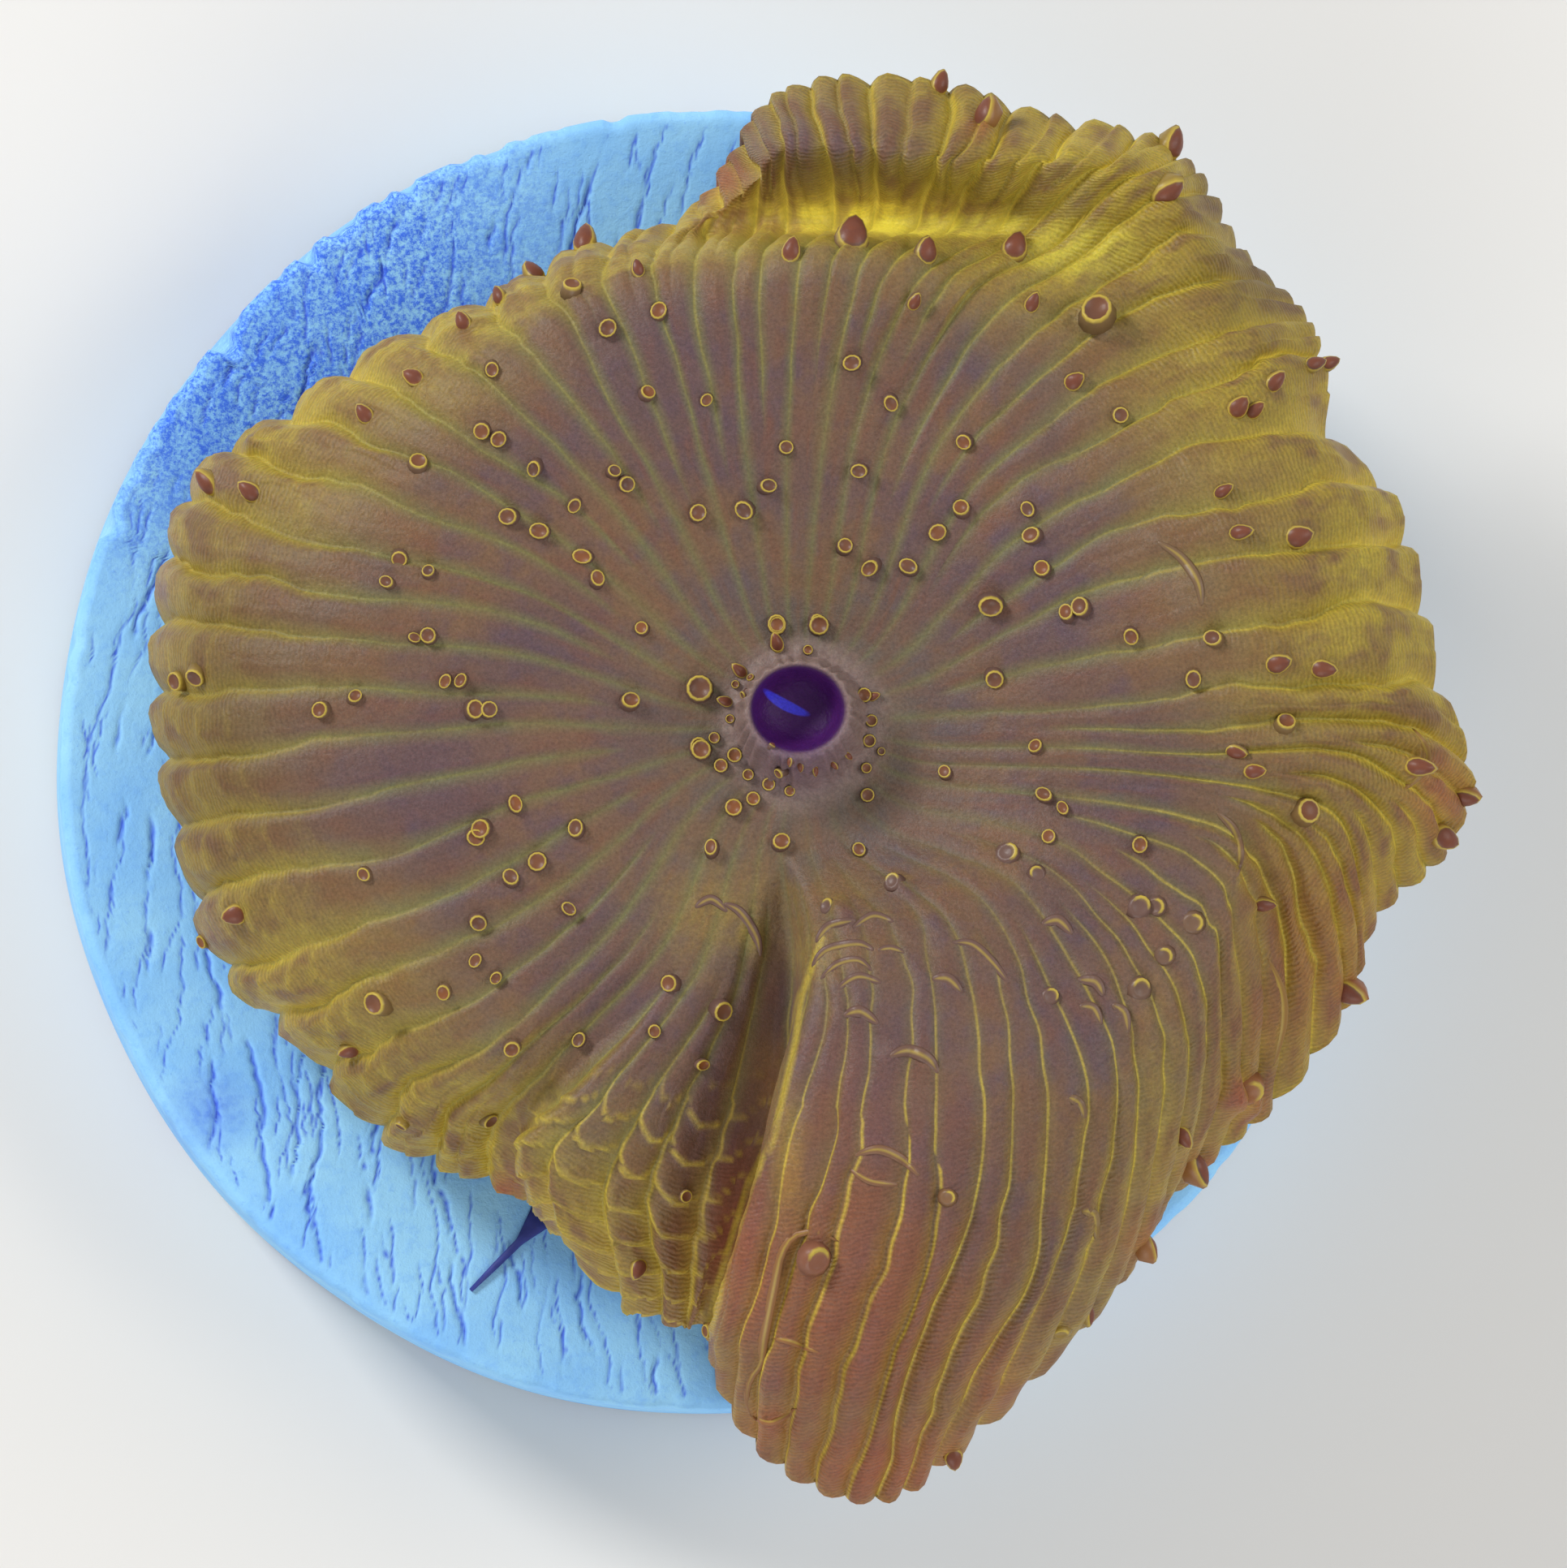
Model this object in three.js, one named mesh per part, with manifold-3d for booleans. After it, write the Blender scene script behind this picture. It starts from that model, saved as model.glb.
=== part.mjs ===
// A mushroom coral grown on a loose round ceramic disc.
// Millimetres, +Z up. The origin is the centre of the ceramic's flat underside.
// Seen from above, +Y is up the photograph and +X is to its right.

import * as THREE from 'three';
import { mergeVertices } from 'three/addons/utils/BufferGeometryUtils.js';
import Module from 'manifold-3d';

// Ceramic disc
const DISC_RADIUS = 16;
const DISC_HEIGHT = 5;
const DISC_SIDES = 64;
const DISC_TOP_ROUND = 0.25;
const DISC_FOOT_ROUND = 0.4;
const DISC_UNEVEN = 0.05;

// Mouth: a low cone in the middle of the oral disc, leaning towards +Y, with a pit in its tip
const MOUTH = { x: 2.0, y: 0.7 };
const MOUTH_FOOT_RADIUS = 1.65;
const MOUTH_FOOT_Z = 6.9;
const BOWL_RADIUS = 3.2;
const BOWL_Z = 6.9;
const MOUTH_SIDES = 36;
// Across X, across Y, shift towards +Y, height: from the pit's floor out over the lip to the cone's foot
const MOUTH_RINGS = [
  [0.45, 0.36, 0.42, 7.05],
  [0.86, 0.74, 0.42, 7.35],
  [1.04, 0.92, 0.41, 8.05],
  [1.16, 1.04, 0.39, 8.3],
  [1.3, 1.18, 0.34, 8.12],
  [1.42, 1.34, 0.2, 7.6],
];
const PIT_FLOOR_Z = 6.95;

// Oral disc. Each row follows one groove between ribs from the mouth to the margin, read off the
// photograph: bearing where it leaves the mouth in degrees, ribs up to the next row, then five
// stations of x, y and height above the ceramic. Rows run anticlockwise from the right.
const PATHS = [
  [3, 2, [8.0, 1.1, 7.6], [11.0, 1.3, 8.2], [13.6, 1.6, 8.5], [16.2, 1.8, 7.4], [17.8, 1.6, 5.4]],
  [12, 2, [8.0, 2.1, 7.6], [11.0, 2.7, 8.4], [13.4, 3.1, 8.6], [15.8, 3.6, 7.4], [17.45, 3.5, 5.0]],
  [20, 2, [7.8, 3.3, 7.6], [10.7, 4.3, 8.3], [13.1, 4.9, 8.6], [15.4, 5.3, 7.2], [17.05, 5.2, 4.8]],
  [27, 2, [7.5, 4.2, 7.6], [10.3, 5.6, 8.1], [12.6, 6.2, 8.2], [14.9, 6.7, 7.0], [16.45, 6.6, 4.7]],
  [34, 2, [7.0, 5.0, 7.6], [9.8, 6.7, 7.9], [12.0, 7.6, 7.8], [14.0, 8.2, 6.7], [15.2, 7.9, 4.6]],
  [42, 3, [6.5, 5.8, 7.5], [9.2, 7.7, 7.6], [11.4, 8.9, 7.3], [13.3, 9.6, 6.7], [14.9, 9.9, 4.6]],
  [50, 3, [5.9, 6.6, 7.5], [8.2, 8.8, 7.3], [10.5, 10.3, 6.7], [12.5, 11.1, 6.2], [14.3, 11.1, 3.5]],
  [58, 3, [5.2, 7.2, 7.5], [7.4, 9.9, 7.2], [9.7, 11.7, 6.5], [11.7, 12.7, 6.4], [12.9, 12.5, 3.4]],
  [66, 3, [4.4, 7.7, 7.5], [6.4, 10.8, 7.4], [8.6, 12.4, 6.3], [10.6, 13.9, 6.8], [11.9, 14.3, 4.2]],
  [73, 3, [3.8, 7.9, 7.6], [5.5, 11.3, 7.7], [7.5, 12.8, 5.9], [9.3, 14.3, 7.1], [10.4, 15.3, 4.8]],
  [80, 3, [3.2, 8.1, 7.6], [4.6, 11.7, 8.0], [6.2, 12.9, 5.4], [7.3, 14.4, 7.3], [8.1, 15.7, 5.2]],
  [87, 3, [2.6, 8.2, 7.7], [3.5, 12.0, 8.2], [4.8, 13.0, 5.0], [5.2, 14.5, 7.4], [5.7, 16.45, 5.4]],
  [94, 3, [1.9, 8.2, 7.7], [2.4, 12.1, 8.3], [3.3, 13.0, 4.8], [3.0, 14.7, 7.5], [2.9, 16.6, 5.4]],
  [101, 3, [1.1, 8.1, 7.7], [1.1, 12.0, 8.1], [1.8, 13.0, 4.6], [1.4, 14.6, 6.9], [1.1, 16.0, 5.0]],
  [108, 3, [0.3, 7.9, 7.7], [-0.2, 11.8, 7.9], [0.3, 12.9, 4.7], [0.5, 13.7, 5.1], [0.15, 14.5, 3.9]],
  [115, 3, [-0.6, 7.7, 7.7], [-1.6, 11.4, 7.7], [-1.5, 12.4, 6.2], [-1.1, 12.9, 4.6], [-0.9, 13.3, 3.3]],
  [123, 3, [-1.5, 7.3, 7.7], [-3.1, 10.6, 7.6], [-3.5, 11.9, 6.5], [-3.5, 12.3, 5.0], [-3.5, 12.5, 3.4]],
  [131, 3, [-2.4, 6.8, 7.7], [-4.6, 9.5, 7.5], [-5.5, 10.6, 6.4], [-5.8, 11.1, 4.9], [-5.9, 11.2, 3.3]],
  [139, 3, [-3.2, 6.1, 7.6], [-6.0, 8.4, 7.4], [-7.4, 9.5, 6.3], [-8.1, 10.0, 4.7], [-8.3, 10.1, 3.1]],
  [147, 3, [-3.9, 5.2, 7.6], [-7.2, 7.0, 7.3], [-9.2, 8.0, 6.1], [-10.4, 8.4, 4.5], [-10.6, 8.5, 2.9]],
  [156, 3, [-4.4, 4.2, 7.5], [-8.1, 5.5, 7.2], [-10.6, 6.3, 5.9], [-12.2, 6.9, 4.2], [-12.7, 7.1, 2.6]],
  [165, 3, [-4.8, 3.1, 7.5], [-8.8, 3.8, 7.3], [-11.6, 4.3, 6.2], [-13.1, 4.7, 4.2], [-13.6, 4.9, 2.4]],
  [174, 3, [-4.9, 1.8, 7.5], [-9.1, 2.0, 7.4], [-12.0, 2.2, 6.4], [-13.4, 2.4, 4.2], [-13.85, 2.4, 2.2]],
  [183, 3, [-4.8, 0.6, 7.5], [-9.0, 0.2, 7.4], [-11.9, 0.0, 6.4], [-13.3, -0.1, 4.3], [-13.7, -0.1, 2.2]],
  [192, 3, [-4.5, -0.7, 7.5], [-8.5, -1.8, 7.3], [-11.1, -2.3, 6.3], [-12.7, -2.7, 4.3], [-13.1, -2.8, 2.2]],
  [201, 3, [-3.9, -2.0, 7.4], [-7.5, -3.8, 7.2], [-9.9, -4.6, 6.0], [-11.6, -5.2, 3.7], [-12.1, -5.3, 1.9]],
  [210, 3, [-3.1, -3.2, 7.3], [-6.3, -5.5, 7.1], [-8.5, -6.4, 5.8], [-9.7, -7.0, 3.9], [-10.2, -7.2, 2.0]],
  [219, 3, [-2.4, -4.1, 7.2], [-5.2, -6.8, 6.9], [-7.0, -7.9, 5.4], [-8.0, -8.8, 3.6], [-8.3, -9.3, 2.0]],
  [227, 2, [-1.8, -4.8, 7.1], [-4.6, -7.6, 6.4], [-5.8, -8.8, 4.7], [-6.2, -9.8, 3.3], [-6.3, -10.3, 2.2]],
  [234, 2, [-1.3, -5.2, 7.0], [-4.0, -8.1, 6.0], [-4.8, -9.2, 4.2], [-4.9, -10.2, 2.9], [-4.9, -10.8, 2.0]],
  [240, 3, [-0.8, -5.4, 7.0], [-3.3, -8.3, 7.0], [-4.75, -9.6, 6.2], [-4.5, -10.9, 4.6], [-3.9, -11.7, 2.6]],
  [247, 3, [0.0, -5.6, 6.9], [-1.9, -8.7, 6.8], [-2.9, -10.6, 6.0], [-2.7, -12.4, 4.5], [-2.4, -13.4, 2.6]],
  [254, 3, [0.7, -5.7, 6.6], [-0.2, -8.8, 6.2], [-0.9, -11.0, 5.6], [-1.0, -12.9, 4.4], [-1.0, -14.0, 2.8]],
  [261, 2, [1.8, -5.4, 6.2], [1.5, -8.6, 5.2], [0.8, -11.1, 4.7], [0.1, -13.0, 4.0], [-0.3, -14.0, 3.1]],
  [267, 2, [2.1, -5.2, 8.4], [1.3, -8.5, 8.7], [0.5, -11.4, 8.2], [-0.1, -13.7, 6.9], [-0.15, -15.2, 4.6]],
  [274, 2, [3.0, -5.1, 9.0], [2.8, -8.5, 9.5], [1.9, -11.9, 8.8], [1.0, -14.7, 7.3], [0.8, -16.9, 4.4]],
  [282, 2, [4.3, -4.7, 8.9], [4.6, -8.4, 9.6], [3.9, -12.2, 8.8], [2.8, -15.5, 7.1], [2.4, -18.0, 4.2]],
  [291, 2, [5.6, -4.3, 8.7], [6.3, -8.3, 9.4], [5.8, -12.4, 8.4], [4.6, -15.8, 6.6], [3.9, -18.3, 4.0]],
  [300, 2, [6.5, -3.9, 8.5], [7.9, -8.0, 9.0], [7.7, -12.2, 7.8], [6.5, -15.5, 5.9], [5.5, -17.6, 3.6]],
  [308, 2, [7.3, -3.5, 8.3], [9.4, -7.2, 8.7], [9.5, -11.1, 7.3], [8.6, -14.0, 5.3], [7.7, -15.5, 3.3]],
  [315, 2, [7.9, -2.9, 8.1], [10.6, -6.0, 8.5], [11.0, -9.2, 7.1], [10.4, -11.8, 5.1], [9.8, -13.2, 3.1]],
  [322, 2, [8.3, -2.2, 8.0], [11.3, -4.5, 8.4], [12.0, -7.0, 7.4], [11.7, -9.5, 5.3], [11.2, -10.9, 3.1]],
  [328, 2, [8.5, -1.6, 7.85], [11.9, -2.8, 8.2], [12.7, -4.7, 7.6], [12.9, -7.4, 6.0], [12.5, -9.7, 3.2]],
  [334, 2, [8.6, -1.1, 7.75], [12.2, -1.8, 7.8], [13.5, -3.4, 6.2], [14.0, -6.0, 4.9], [13.9, -8.5, 3.0]],
  [339, 3, [8.6, -0.7, 7.7], [12.3, -1.1, 7.9], [14.2, -2.2, 6.9], [15.2, -4.3, 5.5], [15.5, -6.4, 3.2]],
  [344, 3, [8.6, -0.3, 7.7], [12.1, -0.6, 8.0], [14.8, -1.0, 7.5], [16.0, -2.3, 6.2], [16.3, -4.0, 3.8]],
  [350, 2, [8.5, 0.1, 7.7], [11.8, -0.1, 8.1], [14.9, -0.1, 7.8], [17.2, -1.0, 6.4], [18.0, -2.3, 4.4]],
  [356, 2, [8.4, 0.5, 7.7], [11.4, 0.5, 8.1], [14.5, 0.7, 8.0], [17.2, 0.6, 6.8], [18.55, -0.3, 5.0]],
];
// Groove depth below the ribs' crests at the sheet's stations: cone foot, bowl, then the five above
const GROOVE_DEPTHS = [0, 0.02, 0.08, 0.14, 0.24, 0.3, 0.3];
// Where ribs crowd together, only every fourth and then every second groove carries on inwards
const CROWDED_WIDTHS = [0, 0.22, 0.42];
const GROOVE_TO_WIDTH = 0.32;
// Stations of the smooth rings, then of those with a point on every crest and one in every groove
const SMOOTH_STATIONS = [0, 0.5, 1];
const RIBBED_STATIONS = [1.7, 2.4, 3, 3.4, 4, 4.5, 5, 5.5, 6];

// Underside, column and foot
const UNDER_SIDES = 72;
const MARGIN_THICKNESS = 0.55;
const MARGIN_REACH = 0.9;
const FLESH_THICKNESS = 1.1;
const FLESH_REACH = 1.8;
const LOWEST_UNDERSIDE = 0.9;
const UNDER_STEPS = [0.1, 0.3, 0.55, 0.8];
const COLUMN = { x: 1.2, y: 0.2 };
// Radius and height above the ceramic
const COLUMN_RINGS = [
  [5.6, 4.6],
  [4.9, 3.0],
  [4.8, 1.4],
  [5.1, 0.4],
  [5.6, 0],
];

// Tubercles: x, y and size, read off the photograph; each stands square to the skin under it
const TUBERCLE_RADIUS = 0.25;
const TUBERCLE_HEIGHT = 0.36;
const TUBERCLE_SIDES = 5;
const TUBERCLES = [
  [-12.3, 6.5, 1.5], [-11.3, 6.3, 1.3], [-8.6, 8.2, 1.2], [-6.1, 10.3, 1.2], [-4.4, 11.9, 1.2],
  [-3.2, 12.2, 1.6], [-2.0, 11.5, 1.1], [1.6, 11.9, 1.2], [3.2, 12.1, 1.8], [5.0, 11.9, 1.3],
  [7.2, 12.0, 1.5], [9.2, 10.6, 1.6], [4.7, 10.9, 1.2], [10.9, 13.7, 1.8], [-7.5, 4.5, 1.5],
  [-5.15, 5.7, 1.2], [-3.55, 6.0, 1.4], [-3.2, 4.4, 1.4], [-1.9, 3.0, 1.4], [-0.35, 8.55, 1.2],
  [4.15, 8.5, 1.3], [5.95, 7.5, 1.3], [3.4, 6.85, 1.3], [7.5, 5.6, 1.3], [6.6, 3.6, 1.5],
  [8.6, 3.4, 1.4], [6.7, 1.8, 1.3], [12.5, 5.3, 1.3], [14.0, 5.2, 1.4], [12.8, 8.2, 1.5],
  [14.6, 2.0, 1.3], [7.9, 0.1, 1.4], [8.0, -1.2, 1.6], [10.2, -2.3, 1.2], [14.2, -1.45, 1.6],
  [12.9, -8.1, 2.0], [11.8, -9.9, 1.5], [10.6, -11.9, 1.5], [5.8, -17.1, 1.1], [2.3, -12.4, 1.5],
  [-5.9, -2.0, 1.3], [-3.7, -3.85, 1.3], [-8.65, -3.0, 1.2], [-5.45, -5.5, 1.4], [-8.25, -6.15, 1.6],
  [-1.6, -6.8, 1.3], [-11.6, -3.9, 1.3], [-12.9, 1.85, 1.3],
];

// Strand of dark algae on the ceramic: x, y, width and height from its web to its free tip
const STRAND = [
  [-3.95, -10.95, 0.85, 0.1],
  [-4.35, -11.4, 0.5, 0.14],
  [-4.7, -11.8, 0.2, 0.17],
  [-5.3, -12.4, 0.17, 0.16],
  [-5.9, -13.0, 0.1, 0.1],
];

const wasm = await Module();
wasm.setup();

/** Cubic through p1 and p2 whose ends lean the way their outer neighbours lie. */
function cubic(p0, p1, p2, p3, t) {
  return p1.map((_, k) => {
    const lean1 = (p2[k] - p0[k]) / 2;
    const lean2 = (p3[k] - p1[k]) / 2;
    const rise = p2[k] - p1[k];
    const square = 3 * rise - 2 * lean1 - lean2;
    const cube = lean1 + lean2 - 2 * rise;
    return p1[k] + t * lean1 + t * t * square + t * t * t * cube;
  });
}

/** Point of the mouth's foot or the bowl's edge at a bearing. */
function aroundMouth(bearing, radius, z) {
  const angle = THREE.MathUtils.degToRad(bearing);
  return [MOUTH.x + radius * Math.cos(angle), MOUTH.y + radius * Math.sin(angle), z];
}

const sheetRows = PATHS.map(([bearing, , ...stations]) => [
  aroundMouth(bearing, MOUTH_FOOT_RADIUS, MOUTH_FOOT_Z),
  aroundMouth(bearing, BOWL_RADIUS, BOWL_Z),
  ...stations,
]);
const lastStation = sheetRows[0].length - 1;

// Rib number at which each row stands, and the number of ribs all the way round
const ribStarts = [0];
for (const [, ribs] of PATHS) ribStarts.push(ribStarts[ribStarts.length - 1] + ribs);
const RIBS = ribStarts[PATHS.length];

/** Position along the rows, in rows, of a rib number. */
function rowAt(rib) {
  const wrapped = ((rib % RIBS) + RIBS) % RIBS;
  const row = ribStarts.findIndex((start, k) => wrapped < ribStarts[k + 1]);
  return row + (wrapped - ribStarts[row]) / (ribStarts[row + 1] - ribStarts[row]);
}

/** Point of the smooth sheet, before its ribs, at a rib number and a station. */
function sheetPoint(rib, station) {
  const across = rowAt(rib);
  const row = Math.floor(across);
  const inner = Math.min(Math.floor(station), lastStation - 1);
  const along = [-1, 0, 1, 2].map((step) => {
    const points = sheetRows[(row + step + sheetRows.length) % sheetRows.length];
    const before = points[inner - 1] ?? points[inner].map((v, k) => 2 * v - points[inner + 1][k]);
    const after = points[inner + 2] ?? points[inner + 1].map((v, k) => 2 * v - points[inner][k]);
    return cubic(before, points[inner], points[inner + 1], after, station - inner);
  });
  return new THREE.Vector3(...cubic(...along, across - row));
}

/** Direction square to the smooth sheet, out of its upper side. */
function sheetNormal(rib, station) {
  const step = 0.05;
  const outer = Math.min(station + step, lastStation);
  const inner = Math.max(station - step, 0);
  const outward = sheetPoint(rib, outer).sub(sheetPoint(rib, inner));
  const round = sheetPoint(rib + step, station).sub(sheetPoint(rib - step, station));
  return outward.cross(round).normalize();
}

/** Depth of one groove, by its number, at a station. */
function grooveDepth(groove, station) {
  const inner = Math.min(Math.floor(station), lastStation - 1);
  const full = THREE.MathUtils.lerp(GROOVE_DEPTHS[inner], GROOVE_DEPTHS[inner + 1], station - inner);
  const width = sheetPoint(groove + 0.5, station).distanceTo(sheetPoint(groove - 0.5, station));
  const rank = groove % 4 === 0 ? 0 : groove % 2 === 0 ? 1 : 2;
  const limit = CROWDED_WIDTHS[rank];
  const kept = rank === 0 ? 1 : THREE.MathUtils.smoothstep(width, limit, limit * 1.5);
  return kept * Math.min(full, GROOVE_TO_WIDTH * width * 2 ** (2 - rank));
}

/** Closed ring of points made one per side, each with its share of the way round. */
function ring(sides, pointAt) {
  return Array.from({ length: sides }, (_, k) => ({ share: k / sides, point: pointAt(k / sides) }));
}

/** Triangles of a closed skin through a list of rings whose sides may differ in number. */
function skin(start, rings, end) {
  const points = [start];
  const firsts = rings.map((one) => {
    const first = points.length;
    points.push(...one.map(({ point }) => point));
    return first;
  });
  points.push(end);
  const triangles = [];
  const fan = (hub, first, sides, outward) => {
    for (let k = 0; k < sides; k += 1) {
      const here = first + k;
      const next = first + ((k + 1) % sides);
      triangles.push(...(outward ? [hub, here, next] : [hub, next, here]));
    }
  };
  fan(0, firsts[0], rings[0].length, true);
  for (let band = 0; band + 1 < rings.length; band += 1) {
    const a = rings[band];
    const b = rings[band + 1];
    const nextShare = (one, k) => (k + 1 < one.length ? one[k + 1].share : k + 1 === one.length ? 1 : 2);
    let i = 0;
    let j = 0;
    while (i < a.length || j < b.length) {
      const here = firsts[band] + (i % a.length);
      const there = firsts[band + 1] + (j % b.length);
      if (j >= b.length || (i < a.length && nextShare(a, i) <= nextShare(b, j))) {
        i += 1;
        triangles.push(here, there, firsts[band] + (i % a.length));
      } else {
        j += 1;
        triangles.push(here, there, firsts[band + 1] + (j % b.length));
      }
    }
  }
  fan(points.length - 1, firsts[rings.length - 1], rings[rings.length - 1].length, false);
  const geometry = new THREE.BufferGeometry();
  geometry.setAttribute('position', new THREE.Float32BufferAttribute(points.flatMap((p) => p.toArray()), 3));
  geometry.setIndex(triangles);
  return geometry;
}

/** Solid for joining, from a closed geometry. */
function toSolid(geometry) {
  const bare = geometry.clone();
  for (const name of ['normal', 'uv']) bare.deleteAttribute(name);
  const merged = mergeVertices(bare, 1e-4);
  const vertProperties = new Float32Array(merged.attributes.position.array);
  const triVerts = new Uint32Array(merged.index.array);
  return new wasm.Manifold(new wasm.Mesh({ numProp: 3, vertProperties, triVerts }));
}

/** Geometry of a joined solid. */
function fromSolid(solid) {
  const mesh = solid.getMesh();
  const geometry = new THREE.BufferGeometry();
  geometry.setAttribute('position', new THREE.Float32BufferAttribute(mesh.vertProperties, 3));
  geometry.setIndex(Array.from(mesh.triVerts));
  return geometry;
}

// Polyp: rings from the pit's floor over the lip, out along the ribs, round the margin and back
// under to the column and its foot
const bearings = [...PATHS.map(([bearing]) => bearing), PATHS[0][0] + 360];
function bearingAt(rib) {
  const across = rowAt(rib);
  const row = Math.floor(across);
  return THREE.MathUtils.lerp(bearings[row], bearings[row + 1], across - row);
}

const mouthRings = MOUTH_RINGS.map(([rx, ry, shift, z]) => ring(MOUTH_SIDES, (share) => {
  const angle = THREE.MathUtils.degToRad(bearingAt(share * RIBS));
  return new THREE.Vector3(MOUTH.x + rx * Math.cos(angle), MOUTH.y + shift + ry * Math.sin(angle), z);
}));
const smoothRings = SMOOTH_STATIONS.map((station) => ring(MOUTH_SIDES * 2, (share) => (
  sheetPoint(share * RIBS, station)
)));
const ribbedRings = RIBBED_STATIONS.map((station) => ring(RIBS * 2, (share) => {
  const rib = Math.round(share * RIBS * 2) / 2;
  const inGroove = Number.isInteger(rib);
  const crest = sheetPoint(rib, station);
  return inGroove ? crest.addScaledVector(sheetNormal(rib, station), -grooveDepth(rib, station)) : crest;
}));

// The flesh's lower skin lies a fixed thickness under the lowest skin near it, so a fold stays solid
const upperPoints = [...smoothRings, ...ribbedRings].flat().map(({ point }) => point);
function lowestNear(x, y, reach) {
  let lowest = Infinity;
  for (const p of upperPoints) {
    if (Math.hypot(p.x - x, p.y - y) < reach) lowest = Math.min(lowest, p.z);
  }
  return lowest;
}
const underRings = UNDER_STEPS.map((step, k) => ring(k === 0 ? RIBS : UNDER_SIDES, (share) => {
  const edge = sheetPoint(share * RIBS, lastStation);
  const away = Math.hypot(edge.x - COLUMN.x, edge.y - COLUMN.y);
  const reach = THREE.MathUtils.lerp(away, COLUMN_RINGS[0][0], step) / away;
  const x = COLUMN.x + (edge.x - COLUMN.x) * reach;
  const y = COLUMN.y + (edge.y - COLUMN.y) * reach;
  const rim = Math.min(edge.z, lowestNear(x, y, MARGIN_REACH)) - MARGIN_THICKNESS;
  const z = k === 0 ? rim : Math.max(lowestNear(x, y, FLESH_REACH) - FLESH_THICKNESS, LOWEST_UNDERSIDE);
  return new THREE.Vector3(x, y, z);
}));
for (const one of underRings.slice(1)) {
  const heights = one.map(({ point }) => point.z);
  one.forEach(({ point }, k) => {
    const before = heights[(k + UNDER_SIDES - 1) % UNDER_SIDES];
    const after = heights[(k + 1) % UNDER_SIDES];
    point.z = Math.min(heights[k], (before + heights[k] + after) / 3);
  });
}
const columnRings = COLUMN_RINGS.map(([radius, z]) => ring(MOUTH_SIDES, (share) => {
  const edge = sheetPoint(share * RIBS, lastStation);
  const angle = Math.atan2(edge.y - COLUMN.y, edge.x - COLUMN.x);
  return new THREE.Vector3(COLUMN.x + radius * Math.cos(angle), COLUMN.y + radius * Math.sin(angle), z);
}));
const polypRings = [...mouthRings, ...smoothRings, ...ribbedRings, ...underRings, ...columnRings];
const pitFloor = new THREE.Vector3(MOUTH.x, MOUTH.y + MOUTH_RINGS[0][2], PIT_FLOOR_Z);
const footCentre = new THREE.Vector3(COLUMN.x, COLUMN.y, 0);
let polypSolid = toSolid(skin(pitFloor, polypRings, footCentre));

/** Rib and station of the highest skin at a place seen from above. */
function skinAt(x, y) {
  let best = null;
  for (let rib = 0; rib < RIBS; rib += 0.5) {
    for (let station = 1; station <= lastStation; station += 0.1) {
      const point = sheetPoint(rib, Math.min(station, lastStation));
      const miss = Math.hypot(point.x - x, point.y - y) - 0.03 * point.z;
      if (!best || miss < best.miss) best = { miss, rib, station: Math.min(station, lastStation), point };
    }
  }
  return best;
}

const tubercleProfile = [[1.1, -0.7], [0.85, 0.6]];
for (const [x, y, size] of TUBERCLES) {
  const { point, rib, station } = skinAt(x, y);
  const up = sheetNormal(rib, station);
  const turn = new THREE.Quaternion().setFromUnitVectors(new THREE.Vector3(0, 0, 1), up);
  const place = (px, py, pz) => new THREE.Vector3(px, py, pz).applyQuaternion(turn).add(point);
  const rings = tubercleProfile.map(([wide, high]) => ring(TUBERCLE_SIDES, (share) => {
    const angle = 2 * Math.PI * share;
    const radius = TUBERCLE_RADIUS * size * wide;
    return place(radius * Math.cos(angle), radius * Math.sin(angle), TUBERCLE_HEIGHT * size * high);
  })).reverse();
  const tip = place(0, 0, TUBERCLE_HEIGHT * size);
  const root = place(0, 0, TUBERCLE_HEIGHT * size * tubercleProfile[0][1]);
  polypSolid = polypSolid.add(toSolid(skin(tip, rings, root)));
}

const polyp = new THREE.Mesh(
  fromSolid(polypSolid),
  new THREE.MeshStandardMaterial({ color: 0x8a7430, roughness: 0.45, metalness: 0 }),
);
polyp.name = 'mushroom_polyp';
polyp.position.z = DISC_HEIGHT;

// Ceramic disc, a little out of round, with worn edges
function discRadius(angle) {
  return DISC_RADIUS - DISC_UNEVEN * (1 + 0.5 * Math.sin(5 * angle + 1) + 0.5 * Math.sin(11 * angle));
}
const discProfile = [
  [DISC_TOP_ROUND, DISC_HEIGHT],
  [0, DISC_HEIGHT - DISC_TOP_ROUND],
  [0, DISC_FOOT_ROUND],
  [DISC_FOOT_ROUND, 0],
];
const discRings = discProfile.map(([inset, z]) => ring(DISC_SIDES, (share) => {
  const angle = 2 * Math.PI * share;
  const radius = discRadius(angle) - inset;
  return new THREE.Vector3(radius * Math.cos(angle), radius * Math.sin(angle), z);
}));
const disc = new THREE.Mesh(
  skin(new THREE.Vector3(0, 0, DISC_HEIGHT), discRings, new THREE.Vector3(0, 0, 0)),
  new THREE.MeshStandardMaterial({ color: 0x7ac0ff, roughness: 0.8, metalness: 0 }),
);
disc.name = 'ceramic_disc';

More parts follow.
